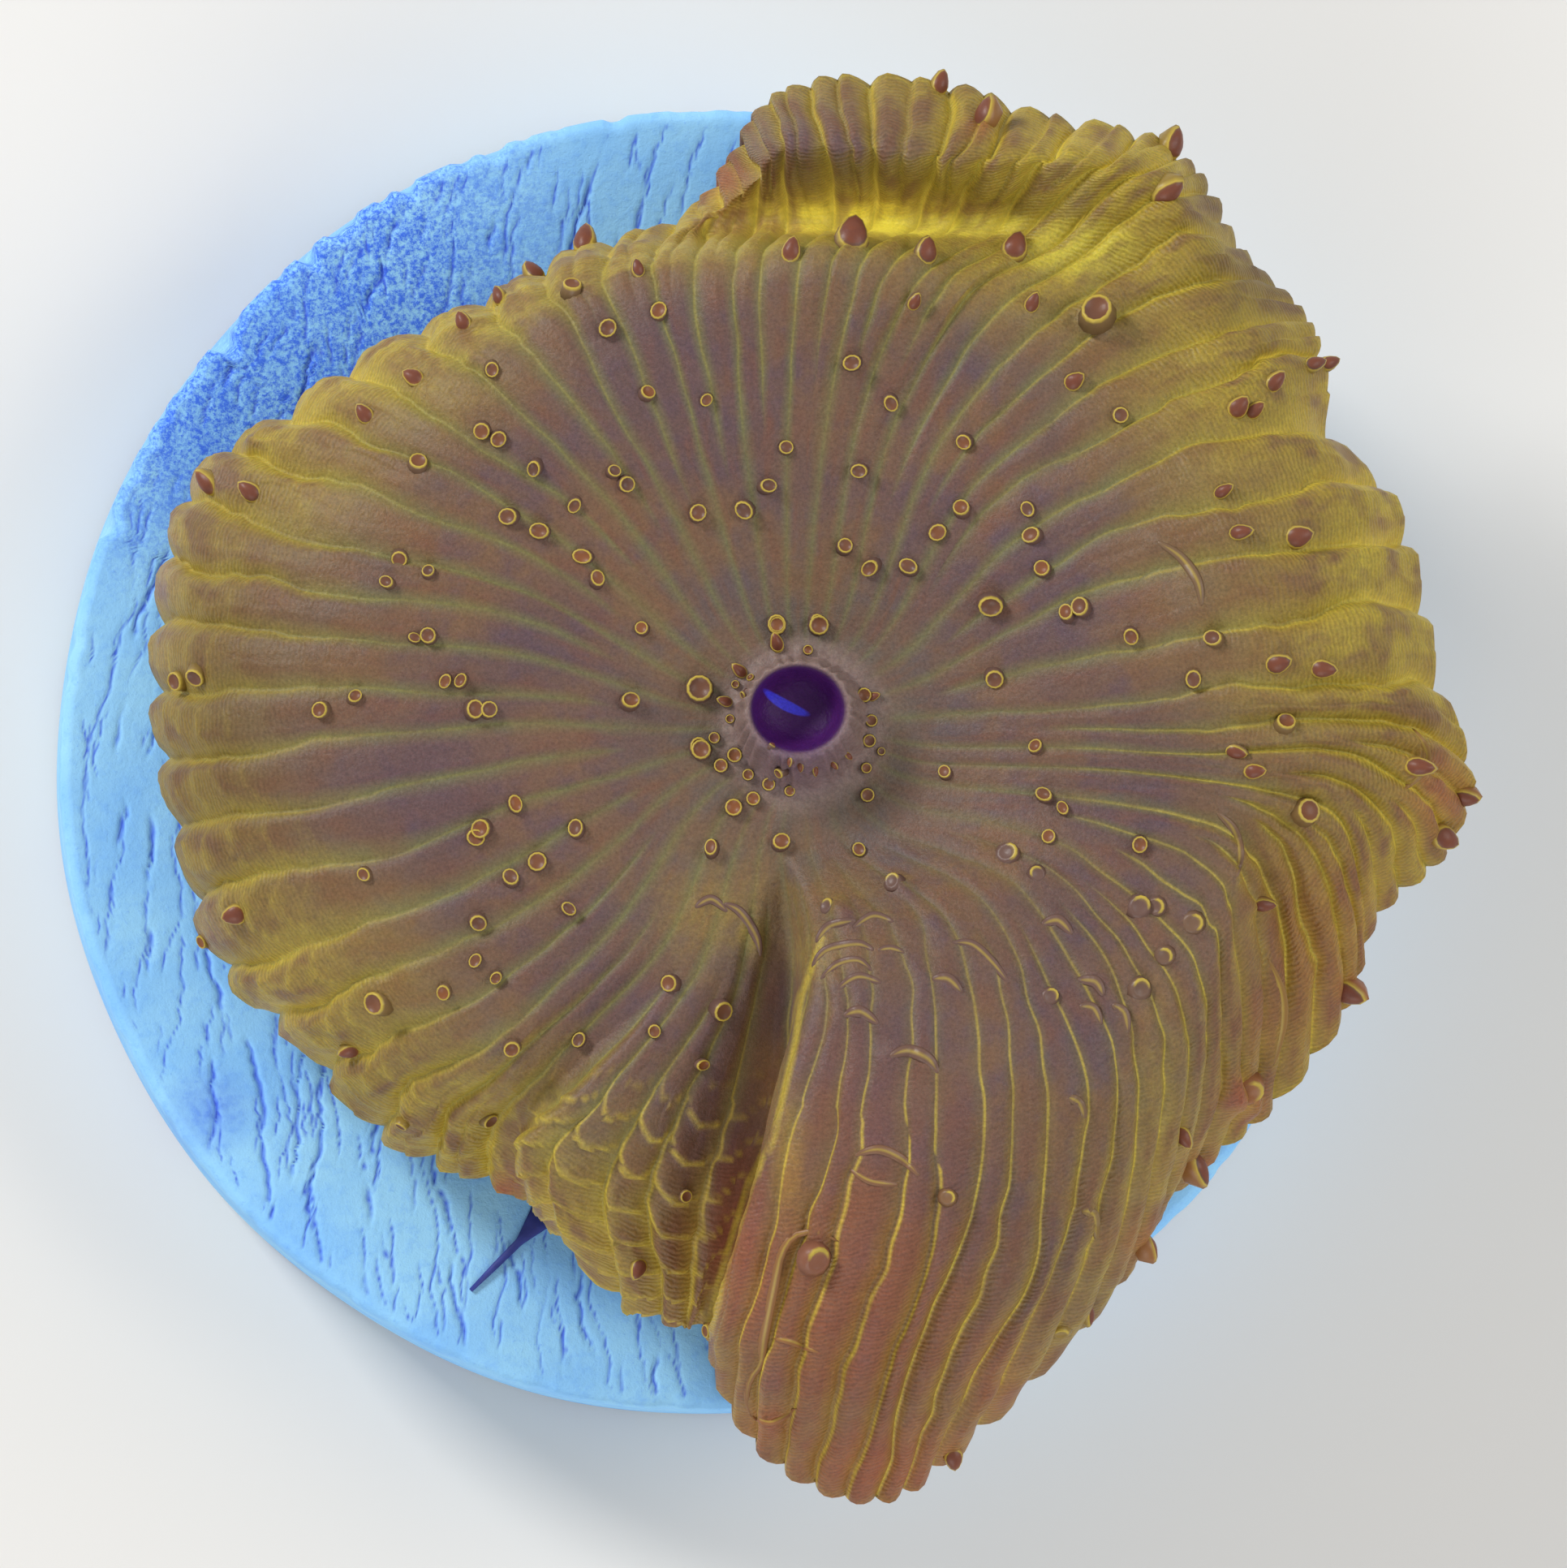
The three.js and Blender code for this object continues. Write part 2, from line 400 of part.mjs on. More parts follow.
// Algae strand: flat below, arched above, one cross-section of five points per station
const strandRings = STRAND.map(([x, y, width, height], k) => {
  const before = STRAND[Math.max(k - 1, 0)];
  const after = STRAND[Math.min(k + 1, STRAND.length - 1)];
  const side = new THREE.Vector3(after[1] - before[1], before[0] - after[0], 0).normalize();
  const section = [[-0.5, 0], [0.5, 0], [0.5, 0.5], [0, 1], [-0.5, 0.5]];
  return section.map(([across, up], n) => ({
    share: n / section.length,
    point: new THREE.Vector3(x, y, height * up).addScaledVector(side, width * across),
  }));
});
const middleOf = (one) => (
  one.reduce((sum, { point }) => sum.add(point), new THREE.Vector3()).divideScalar(one.length)
);
const strand = new THREE.Mesh(
  skin(middleOf(strandRings[0]), strandRings, middleOf(strandRings[strandRings.length - 1])),
  new THREE.MeshStandardMaterial({ color: 0x2a2a7a, roughness: 0.5, metalness: 0 }),
);
strand.name = 'algae_strand';
strand.position.z = DISC_HEIGHT;

const coral = new THREE.Group();
coral.add(disc, polyp, strand);

export default coral;
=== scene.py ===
# %% [markdown]
# A mushroom coral on its ceramic disc
#
# The object is a soft polyp, 33 by 35 mm across, that has grown over a round ceramic disc and hangs
# off one side of it. Its broad oral disc is modelled with 124 ribs that run from a raised mouth to a
# scalloped margin, folds in five places and is dotted with small tubercles. This lesson loads the
# solid model as a frame, then makes the fine surface of each piece over it and gives each surface
# its own procedural finish.

# %% Load the frame
import math
import random

import bpy
import numpy as np
from mathutils import Matrix, Vector
from mathutils.bvhtree import BVHTree


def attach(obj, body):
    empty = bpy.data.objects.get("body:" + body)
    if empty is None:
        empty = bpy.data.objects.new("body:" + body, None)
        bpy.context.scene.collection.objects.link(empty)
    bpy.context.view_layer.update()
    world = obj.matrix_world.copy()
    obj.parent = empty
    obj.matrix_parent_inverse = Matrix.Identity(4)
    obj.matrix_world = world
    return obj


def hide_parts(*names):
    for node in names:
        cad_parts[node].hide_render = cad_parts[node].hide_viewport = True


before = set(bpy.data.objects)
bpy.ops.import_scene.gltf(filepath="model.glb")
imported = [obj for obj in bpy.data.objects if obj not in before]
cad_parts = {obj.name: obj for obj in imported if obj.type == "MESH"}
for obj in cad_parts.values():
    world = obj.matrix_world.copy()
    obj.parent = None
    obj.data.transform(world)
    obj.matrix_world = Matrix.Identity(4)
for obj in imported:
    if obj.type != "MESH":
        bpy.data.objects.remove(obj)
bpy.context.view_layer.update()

print("nodes:", sorted(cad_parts))

# %% [markdown]
# Working by the millimetre
#
# The scene is in metres and the coral was measured in millimetres, so one constant turns one into
# the other. The ceramic's top face is the level that all heights of the coral are measured from.
# Objects that come from the frame are selected after loading, so every step starts by picking what
# it works on.

# %% Units and picking
MM = 0.001
# height of the ceramic's face and radius of its rim, in millimetres
CERAMIC_TOP = 5.0
CERAMIC_RADIUS = 16.0


def pick(*pieces):
    """Selects only these objects and makes the first one active."""
    if bpy.context.mode != "OBJECT":
        bpy.ops.object.mode_set(mode="OBJECT")
    bpy.ops.object.select_all(action="DESELECT")
    for piece in pieces:
        piece.select_set(True)
    if pieces:
        bpy.context.view_layer.objects.active = pieces[0]


def settle(piece, name):
    """Puts the place of a piece into its mesh, so that its object stands at the origin."""
    pick(piece)
    bpy.ops.object.transform_apply(location=True, rotation=True, scale=True)
    piece.name = name
    piece.data.name = name
    print(name, len(piece.data.polygons), "faces")
    return piece


def close_and_face_out(piece, gap):
    """Merges the doubled points of seams and poles, then turns every face outward."""
    pick(piece)
    bpy.ops.object.mode_set(mode="EDIT")
    bpy.ops.mesh.select_all(action="SELECT")
    bpy.ops.mesh.remove_doubles(threshold=gap)
    bpy.ops.mesh.normals_make_consistent(inside=False)
    bpy.ops.object.mode_set(mode="OBJECT")
    bpy.ops.object.shade_smooth()


def points_of(piece):
    """The piece's points as an array, in millimetres."""
    flat = np.empty(len(piece.data.vertices) * 3)
    piece.data.vertices.foreach_get("co", flat)
    return flat.reshape(-1, 3) / MM


def move_points(piece, points):
    """Writes an array of points in millimetres back to the piece."""
    piece.data.vertices.foreach_set("co", (points * MM).ravel())
    piece.data.update()


def write_attribute(piece, name, values):
    """Stores one number per point, for a material to read by name."""
    layer = piece.data.attributes.new(name, "FLOAT", "POINT")
    layer.data.foreach_set("value", np.asarray(values, dtype=np.float32))


def smoothstep(values, low, high):
    """0 below low, 1 above high and a smooth rise between them."""
    share = np.clip((values - low) / (high - low), 0.0, 1.0)
    return share * share * (3.0 - 2.0 * share)


# %% [markdown]
# Camera, light and floor
#
# The photograph looks straight down on the coral. The ceramic's rim is a true circle in it and a
# sliver of its wall shows at the lower left, so the view leans about two degrees that way. A long
# lens from more than a metre away keeps the rim round. The frame is 38.3 mm wide, because the
# ceramic's 32 mm take up 1612 of its 1931 pixels.

# %% Camera
VIEW_CENTRE = Vector((1.65, -0.7, 9.0)) * MM
VIEW_WIDTH = 38.3 * MM
CAMERA_DISTANCE = 1.2
SENSOR_WIDTH = 36
VIEW_LEAN = math.radians(2.4)
LEAN_BEARING = math.radians(225)

lean = Vector((math.cos(LEAN_BEARING), math.sin(LEAN_BEARING), 0)) * math.sin(VIEW_LEAN)
toward_camera = (lean + Vector((0, 0, math.cos(VIEW_LEAN)))).normalized()
camera_data = bpy.data.cameras.new("camera")
camera_data.sensor_width = SENSOR_WIDTH
camera_data.lens = SENSOR_WIDTH * CAMERA_DISTANCE / VIEW_WIDTH
camera_data.clip_start = 0.01
camera = bpy.data.objects.new("camera", camera_data)
bpy.context.scene.collection.objects.link(camera)
camera.location = VIEW_CENTRE + toward_camera * CAMERA_DISTANCE
up = (Vector((0, 1, 0)) - toward_camera * toward_camera.y).normalized()
right = up.cross(toward_camera)
camera.rotation_euler = Matrix((right, up, toward_camera)).transposed().to_euler()
bpy.context.scene.camera = camera
print("lens", round(camera_data.lens), "mm")

# %% [markdown]
# Three broad soft lights stand round the coral: a key from the upper left, a weaker fill from the
# right and a low one from the lower side that lifts the wall of the folded tongue. The world adds an
# even pale light, as a white tent would.

# %% Lights
TENT_STRENGTH = 0.42


def soft_light(name, place, power, size):
    """A square area light at a place in millimetres, turned to the middle of the coral."""
    data = bpy.data.lights.new(name, "AREA")
    data.energy = power
    data.size = size * MM
    lamp = bpy.data.objects.new(name, data)
    bpy.context.scene.collection.objects.link(lamp)
    lamp.location = Vector(place) * MM
    aim = VIEW_CENTRE - lamp.location
    lamp.rotation_euler = aim.to_track_quat("-Z", "Y").to_euler()


# name, place, power in watts and size in millimetres
soft_light("key_light", (-190, 165, 170), 0.62, 70)
soft_light("fill_light", (210, 30, 190), 0.3, 160)
soft_light("low_light", (-40, -220, 120), 0.2, 140)
world = bpy.data.worlds.new("white_tent")
bpy.context.scene.world = world
world.use_nodes = True
tent = world.node_tree.nodes["Background"]
tent.inputs["Color"].default_value = (1, 1, 1, 1)
tent.inputs["Strength"].default_value = TENT_STRENGTH
bpy.context.scene.view_settings.view_transform = "Standard"

# %% [markdown]
# Colours and nodes
#
# Colours were picked as six-digit values, the way a paint program shows them. Shaders want
# linear light, so one function turns them. Another small function adds a node, sets it up and wires
# it in one line. The others each stand for one kind of node, and work on the material that was
# started last, which keeps the finishes readable: a tone is a list of thin coats with their shares.

# %% Colour and node helpers
def linear(colour):
    """The linear colour of a six-digit sRGB value."""
    parts = [int(colour[k:k + 2], 16) / 255 for k in (1, 3, 5)]
    return tuple(p / 12.92 if p <= 0.04045 else ((p + 0.055) / 1.055) ** 2.4 for p in parts) + (1.0,)


def set_inputs(node, inputs):
    """Links or sets each input of a node that is named. A colour is given as its sRGB value."""
    for key, value in inputs.items():
        if isinstance(value, bpy.types.NodeSocket):
            tree.links.new(value, node.inputs[key])
        else:
            node.inputs[key].default_value = linear(value) if isinstance(value, str) else value


def add_node(kind, inputs, **settings):
    """Adds a node to the newest material, with its settings and inputs."""
    node = tree.nodes.new(kind)
    for key, value in settings.items():
        setattr(node, key, value)
    set_inputs(node, inputs)
    return node


def new_material(name):
    """Starts an empty material. The helpers add to its tree until the next one starts."""
    global tree
    material = bpy.data.materials.new(name)
    material.use_nodes = True
    tree = material.node_tree
    tree.nodes.clear()
    shader = add_node("ShaderNodeBsdfPrincipled", {})
    add_node("ShaderNodeOutputMaterial", {"Surface": shader.outputs["BSDF"]})
    return material, shader


def share_of(name):
    """The number that the mesh stores under this name."""
    return add_node("ShaderNodeAttribute", {}, attribute_name=name).outputs["Fac"]


def object_place():
    """The place on the piece, in metres, whichever way the scene is seen."""
    return add_node("ShaderNodeTexCoord", {}).outputs["Object"]


def noise_at(where, size, detail=2.0, roughness=0.5):
    """Cloudy noise whose blobs are about so many millimetres across."""
    knobs = {"Vector": where, "Scale": 1 / (size * MM), "Detail": detail, "Roughness": roughness}
    return add_node("ShaderNodeTexNoise", knobs).outputs["Fac"]


def ramp(value, low, high, start=0.0, end=1.0):
    """A value turned from one range to another and held inside it."""
    ends = {"Value": value, "From Min": low, "From Max": high, "To Min": start, "To Max": end}
    return add_node("ShaderNodeMapRange", ends, clamp=True).outputs["Result"]


def maths(operation, first, second=0.0):
    """One sum on two values."""
    return add_node("ShaderNodeMath", {0: first, 1: second}, operation=operation).outputs[0]


def times(first, *others):
    """The product of some values."""
    for other in others:
        first = maths("MULTIPLY", first, other)
    return first


def plus(first, *others):
    """The sum of some values."""
    for other in others:
        first = maths("ADD", first, other)
    return first


def rest_of(share):
    """What a share leaves of one."""
    return maths("SUBTRACT", 1.0, share)


def blend(share, first, second):
    """Two colours mixed by a share."""
    return add_node("ShaderNodeMix", {0: share, 6: first, 7: second}, data_type="RGBA").outputs[2]


def layered(tone, layers):
    """A tone under others, each of which covers what is below it by its share."""
    for share, colour in layers:
        tone = blend(share, tone, colour)
    return tone


def bumped(height, strength, depth):
    """The direction of a surface that a height roughens, to a depth in millimetres."""
    knobs = {"Height": height, "Strength": strength, "Distance": depth * MM}
    return add_node("ShaderNodeBump", knobs).outputs["Normal"]


# %% [markdown]
# Floor
#
# The coral stands on a plain pale floor that reaches past the picture on every side.

# %% Floor
pick()
bpy.ops.mesh.primitive_plane_add(size=4.0, location=(0, 0, 0))
floor = bpy.context.active_object
floor.name = "floor"
floor_finish, shader = new_material("pale_floor")
set_inputs(shader, {"Base Color": "#E4E2DE", "Roughness": 0.9})
floor.data.materials.append(floor_finish)

# %% [markdown]
# The path of the ribs
#
# The skin of the oral disc is the heart of this piece. It could be sculpted, but its ribs run in long
# sweeps that fold under and over each other, and a grid that follows them gives sharp even grooves.
# So each row below follows one groove from the mouth to the margin: its bearing at the mouth, the
# ribs up to the next row, and five stations of x, y and height above the ceramic. These are the same
# values that the solid model is built on.

# %% Rows of the oral disc
MOUTH_X, MOUTH_Y = 2.0, 0.7
MOUTH_FOOT_RADIUS, MOUTH_FOOT_Z = 1.65, 6.9
BOWL_RADIUS, BOWL_Z = 3.2, 6.9
# bearing, ribs, then x, y and height at the five stations
ROWS = [
    (3, 2, (8.0, 1.1, 7.6), (11.0, 1.3, 8.2), (13.6, 1.6, 8.5), (16.2, 1.8, 7.4), (17.8, 1.6, 5.4)),
    (12, 2, (8.0, 2.1, 7.6), (11.0, 2.7, 8.4), (13.4, 3.1, 8.6), (15.8, 3.6, 7.4), (17.45, 3.5, 5.0)),
    (20, 2, (7.8, 3.3, 7.6), (10.7, 4.3, 8.3), (13.1, 4.9, 8.6), (15.4, 5.3, 7.2), (17.05, 5.2, 4.8)),
    (27, 2, (7.5, 4.2, 7.6), (10.3, 5.6, 8.1), (12.6, 6.2, 8.2), (14.9, 6.7, 7.0), (16.45, 6.6, 4.7)),
    (34, 2, (7.0, 5.0, 7.6), (9.8, 6.7, 7.9), (12.0, 7.6, 7.8), (14.0, 8.2, 6.7), (15.2, 7.9, 4.6)),
    (42, 3, (6.5, 5.8, 7.5), (9.2, 7.7, 7.6), (11.4, 8.9, 7.3), (13.3, 9.6, 6.7), (14.9, 9.9, 4.6)),
    (50, 3, (5.9, 6.6, 7.5), (8.2, 8.8, 7.3), (10.5, 10.3, 6.7), (12.5, 11.1, 6.2), (14.3, 11.1, 3.5)),
    (58, 3, (5.2, 7.2, 7.5), (7.4, 9.9, 7.2), (9.7, 11.7, 6.5), (11.7, 12.7, 6.4), (12.9, 12.5, 3.4)),
    (66, 3, (4.4, 7.7, 7.5), (6.4, 10.8, 7.4), (8.6, 12.4, 6.3), (10.6, 13.9, 6.8), (11.9, 14.3, 4.2)),
    (73, 3, (3.8, 7.9, 7.6), (5.5, 11.3, 7.7), (7.5, 12.8, 5.9), (9.3, 14.3, 7.1), (10.4, 15.3, 4.8)),
    (80, 3, (3.2, 8.1, 7.6), (4.6, 11.7, 8.0), (6.2, 12.9, 5.4), (7.3, 14.4, 7.3), (8.1, 15.7, 5.2)),
    (87, 3, (2.6, 8.2, 7.7), (3.5, 12.0, 8.2), (4.8, 13.0, 5.0), (5.2, 14.5, 7.4), (5.7, 16.45, 5.4)),
    (94, 3, (1.9, 8.2, 7.7), (2.4, 12.1, 8.3), (3.3, 13.0, 4.8), (3.0, 14.7, 7.5), (2.9, 16.6, 5.4)),
    (101, 3, (1.1, 8.1, 7.7), (1.1, 12.0, 8.1), (1.8, 13.0, 4.6), (1.4, 14.6, 6.9), (1.1, 16.0, 5.0)),
    (108, 3, (0.3, 7.9, 7.7), (-0.2, 11.8, 7.9), (0.3, 12.9, 4.7), (0.5, 13.7, 5.1), (0.15, 14.5, 3.9)),
    (115, 3, (-0.6, 7.7, 7.7), (-1.6, 11.4, 7.7), (-1.5, 12.4, 6.2), (-1.1, 12.9, 4.6), (-0.9, 13.3, 3.3)),
    (123, 3, (-1.5, 7.3, 7.7), (-3.1, 10.6, 7.6), (-3.5, 11.9, 6.5), (-3.5, 12.3, 5.0), (-3.5, 12.5, 3.4)),
    (131, 3, (-2.4, 6.8, 7.7), (-4.6, 9.5, 7.5), (-5.5, 10.6, 6.4), (-5.8, 11.1, 4.9), (-5.9, 11.2, 3.3)),
    (139, 3, (-3.2, 6.1, 7.6), (-6.0, 8.4, 7.4), (-7.4, 9.5, 6.3), (-8.1, 10.0, 4.7), (-8.3, 10.1, 3.1)),
    (147, 3, (-3.9, 5.2, 7.6), (-7.2, 7.0, 7.3), (-9.2, 8.0, 6.1), (-10.4, 8.4, 4.5), (-10.6, 8.5, 2.9)),
    (156, 3, (-4.4, 4.2, 7.5), (-8.1, 5.5, 7.2), (-10.6, 6.3, 5.9), (-12.2, 6.9, 4.2), (-12.7, 7.1, 2.6)),
    (165, 3, (-4.8, 3.1, 7.5), (-8.8, 3.8, 7.3), (-11.6, 4.3, 6.2), (-13.1, 4.7, 4.2), (-13.6, 4.9, 2.4)),
    (174, 3, (-4.9, 1.8, 7.5), (-9.1, 2.0, 7.4), (-12.0, 2.2, 6.4), (-13.4, 2.4, 4.2), (-13.85, 2.4, 2.2)),
    (183, 3, (-4.8, 0.6, 7.5), (-9.0, 0.2, 7.4), (-11.9, 0.0, 6.4), (-13.3, -0.1, 4.3), (-13.7, -0.1, 2.2)),
    (192, 3, (-4.5, -0.7, 7.5), (-8.5, -1.8, 7.3), (-11.1, -2.3, 6.3), (-12.7, -2.7, 4.3),
     (-13.1, -2.8, 2.2)),
    (201, 3, (-3.9, -2.0, 7.4), (-7.5, -3.8, 7.2), (-9.9, -4.6, 6.0), (-11.6, -5.2, 3.7), (-12.1, -5.3, 1.9)),
    (210, 3, (-3.1, -3.2, 7.3), (-6.3, -5.5, 7.1), (-8.5, -6.4, 5.8), (-9.7, -7.0, 3.9), (-10.2, -7.2, 2.0)),
    (219, 3, (-2.4, -4.1, 7.2), (-5.2, -6.8, 6.9), (-7.0, -7.9, 5.4), (-8.0, -8.8, 3.6), (-8.3, -9.3, 2.0)),
    (227, 2, (-1.8, -4.8, 7.1), (-4.6, -7.6, 6.4), (-5.8, -8.8, 4.7), (-6.2, -9.8, 3.3), (-6.3, -10.3, 2.2)),
    (234, 2, (-1.3, -5.2, 7.0), (-4.0, -8.1, 6.0), (-4.8, -9.2, 4.2), (-4.9, -10.2, 2.9), (-4.9, -10.8, 2.0)),
    (240, 3, (-0.8, -5.4, 7.0), (-3.3, -8.3, 7.0), (-4.75, -9.6, 6.2), (-4.5, -10.9, 4.6),
     (-3.9, -11.7, 2.6)),
    (247, 3, (0.0, -5.6, 6.9), (-1.9, -8.7, 6.8), (-2.9, -10.6, 6.0), (-2.7, -12.4, 4.5), (-2.4, -13.4, 2.6)),
    (254, 3, (0.7, -5.7, 6.6), (-0.2, -8.8, 6.2), (-0.9, -11.0, 5.6), (-1.0, -12.9, 4.4), (-1.0, -14.0, 2.8)),
    (261, 2, (1.8, -5.4, 6.2), (1.5, -8.6, 5.2), (0.8, -11.1, 4.7), (0.1, -13.0, 4.0), (-0.3, -14.0, 3.1)),
    (267, 2, (2.1, -5.2, 8.4), (1.3, -8.5, 8.7), (0.5, -11.4, 8.2), (-0.1, -13.7, 6.9), (-0.15, -15.2, 4.6)),
    (274, 2, (3.0, -5.1, 9.0), (2.8, -8.5, 9.5), (1.9, -11.9, 8.8), (1.0, -14.7, 7.3), (0.8, -16.9, 4.4)),
    (282, 2, (4.3, -4.7, 8.9), (4.6, -8.4, 9.6), (3.9, -12.2, 8.8), (2.8, -15.5, 7.1), (2.4, -18.0, 4.2)),
    (291, 2, (5.6, -4.3, 8.7), (6.3, -8.3, 9.4), (5.8, -12.4, 8.4), (4.6, -15.8, 6.6), (3.9, -18.3, 4.0)),
    (300, 2, (6.5, -3.9, 8.5), (7.9, -8.0, 9.0), (7.7, -12.2, 7.8), (6.5, -15.5, 5.9), (5.5, -17.6, 3.6)),
    (308, 2, (7.3, -3.5, 8.3), (9.4, -7.2, 8.7), (9.5, -11.1, 7.3), (8.6, -14.0, 5.3), (7.7, -15.5, 3.3)),
    (315, 2, (7.9, -2.9, 8.1), (10.6, -6.0, 8.5), (11.0, -9.2, 7.1), (10.4, -11.8, 5.1), (9.8, -13.2, 3.1)),
    (322, 2, (8.3, -2.2, 8.0), (11.3, -4.5, 8.4), (12.0, -7.0, 7.4), (11.7, -9.5, 5.3), (11.2, -10.9, 3.1)),
    (328, 2, (8.5, -1.6, 7.85), (11.9, -2.8, 8.2), (12.7, -4.7, 7.6), (12.9, -7.4, 6.0), (12.5, -9.7, 3.2)),
    (334, 2, (8.6, -1.1, 7.75), (12.2, -1.8, 7.8), (13.5, -3.4, 6.2), (14.0, -6.0, 4.9), (13.9, -8.5, 3.0)),
    (339, 3, (8.6, -0.7, 7.7), (12.3, -1.1, 7.9), (14.2, -2.2, 6.9), (15.2, -4.3, 5.5), (15.5, -6.4, 3.2)),
    (344, 3, (8.6, -0.3, 7.7), (12.1, -0.6, 8.0), (14.8, -1.0, 7.5), (16.0, -2.3, 6.2), (16.3, -4.0, 3.8)),
    (350, 2, (8.5, 0.1, 7.7), (11.8, -0.1, 8.1), (14.9, -0.1, 7.8), (17.2, -1.0, 6.4), (18.0, -2.3, 4.4)),
    (356, 2, (8.4, 0.5, 7.7), (11.4, 0.5, 8.1), (14.5, 0.7, 8.0), (17.2, 0.6, 6.8), (18.55, -0.3, 5.0)),
]
bearings = np.array([row[0] for row in ROWS] + [ROWS[0][0] + 360.0])
rib_starts = np.cumsum([0] + [row[1] for row in ROWS])
RIBS = int(rib_starts[-1])
print(len(ROWS), "rows,", RIBS, "ribs")

# %% [markdown]
# Between the rows the skin is a smooth cubic both ways: across the rows, which close on themselves,
# and along them. The same patch function also serves the mouth and the underside.

# %% Smooth patches
def cubic(p0, p1, p2, p3, t):
    """Smooth curve through p1 and p2 whose ends lean the way their outer neighbours lie."""
    lean1, lean2, rise = (p2 - p0) / 2, (p3 - p1) / 2, p2 - p1
    return p1 + t * lean1 + t**2 * (3 * rise - 2 * lean1 - lean2) + t**3 * (lean1 + lean2 - 2 * rise)


def patch(cage, across, along):
    """Points of a patch over a cage of (rows, stations, 3), which closes on itself across the rows."""
    rows, stations = cage.shape[:2]
    first, last = 2 * cage[:, :1] - cage[:, 1:2], 2 * cage[:, -1:] - cage[:, -2:-1]
    padded = np.concatenate([first, cage, last], axis=1)
    across, along = np.broadcast_arrays(across, along)
    row = np.floor(across).astype(int)
    station = np.clip(np.floor(along).astype(int), 0, stations - 2)
    t, s = (across - row)[..., None], (along - station)[..., None]
    curves = [cubic(*(padded[(row + r) % rows, station + k] for k in range(4)), s) for r in (-1, 0, 1, 2)]
    return cubic(*curves, t)


def round_mouth(bearing, radius, z):
    """A point round the mouth at a bearing in degrees."""
    angle = math.radians(bearing)
    return (MOUTH_X + radius * math.cos(angle), MOUTH_Y + radius * math.sin(angle), z)


disc_cage = np.array([
    [round_mouth(row[0], MOUTH_FOOT_RADIUS, MOUTH_FOOT_Z), round_mouth(row[0], BOWL_RADIUS, BOWL_Z), *row[2:]]
    for row in ROWS
])
MARGIN = disc_cage.shape[1] - 1


def row_at(rib):
    """Position along the rows of a rib number."""
    return np.interp(np.mod(rib, RIBS), rib_starts, np.arange(len(ROWS) + 1))


def skin_at(rib, station):
    """Points of the smooth skin, before its ribs."""
    return patch(disc_cage, row_at(rib), station)


print("margin spans", np.ptp(skin_at(np.arange(RIBS), MARGIN), axis=0).round(1), "mm")

# %% [markdown]
# The mouth and the underside
#
# The mouth is a low cone that leans away from the tongue, with a pit in its tip. Under the disc the
# flesh's lower skin lies a little below the lowest skin near it, so the folds stay solid, and it
# runs in to a short column with a flared foot on the ceramic. Both are patches too, with stations
# that go on from the disc's own.

# %% Cages of the mouth and the underside
# half width, half depth, shift up the picture and height of each ring, from the pit outward
MOUTH_RINGS = [
    (0.0, 0.0, 0.32, 6.98), (0.48, 0.4, 0.32, 7.02), (0.86, 0.74, 0.32, 7.2), (1.04, 0.94, 0.32, 7.7),
    (1.13, 1.03, 0.31, 8.12), (1.23, 1.13, 0.29, 8.28), (1.35, 1.25, 0.25, 8.12), (1.46, 1.39, 0.15, 7.6),
    (1.58, 1.56, 0.05, 7.1),
]
# part of the shift by which a ring also stands to the left
LEAN_ASIDE = 0.4
mouth_cage = np.array([
    [
        (
            MOUTH_X - LEAN_ASIDE * shift + rx * math.cos(math.radians(row[0])),
            MOUTH_Y + shift + ry * math.sin(math.radians(row[0])),
            z,
        )
        for rx, ry, shift, z in MOUTH_RINGS
    ] + [round_mouth(row[0], MOUTH_FOOT_RADIUS, MOUTH_FOOT_Z)]
    for row in ROWS
])

COLUMN_X, COLUMN_Y = 1.2, 0.2
# radius and height of each ring of the column, down to its foot
COLUMN_RINGS = [(5.6, 4.6), (4.9, 3.0), (4.8, 1.4), (5.1, 0.4), (5.6, 0.0)]
# share of the way from the margin to the column
UNDER_STEPS = [0.1, 0.3, 0.55, 0.8]
MARGIN_THICKNESS, FLESH_THICKNESS = 0.55, 1.1
MARGIN_REACH, FLESH_REACH = 0.9, 1.8
LOWEST_UNDERSIDE = 0.9

near_ribs = np.arange(0, RIBS, 0.5)[:, None]
near_stations = np.array([0, 0.5, 1, 1.7, 2.4, 3, 3.4, 4, 4.5, 5, 5.5, 6])[None, :]
upper_skin = skin_at(near_ribs, near_stations).reshape(-1, 3)


def lowest_near(points, reach):
    """Height of the lowest upper skin within reach of each point, seen from above."""
    gaps = np.hypot(points[:, None, 0] - upper_skin[None, :, 0], points[:, None, 1] - upper_skin[None, :, 1])
    return np.where(gaps < reach, upper_skin[None, :, 2], np.inf).min(axis=1)


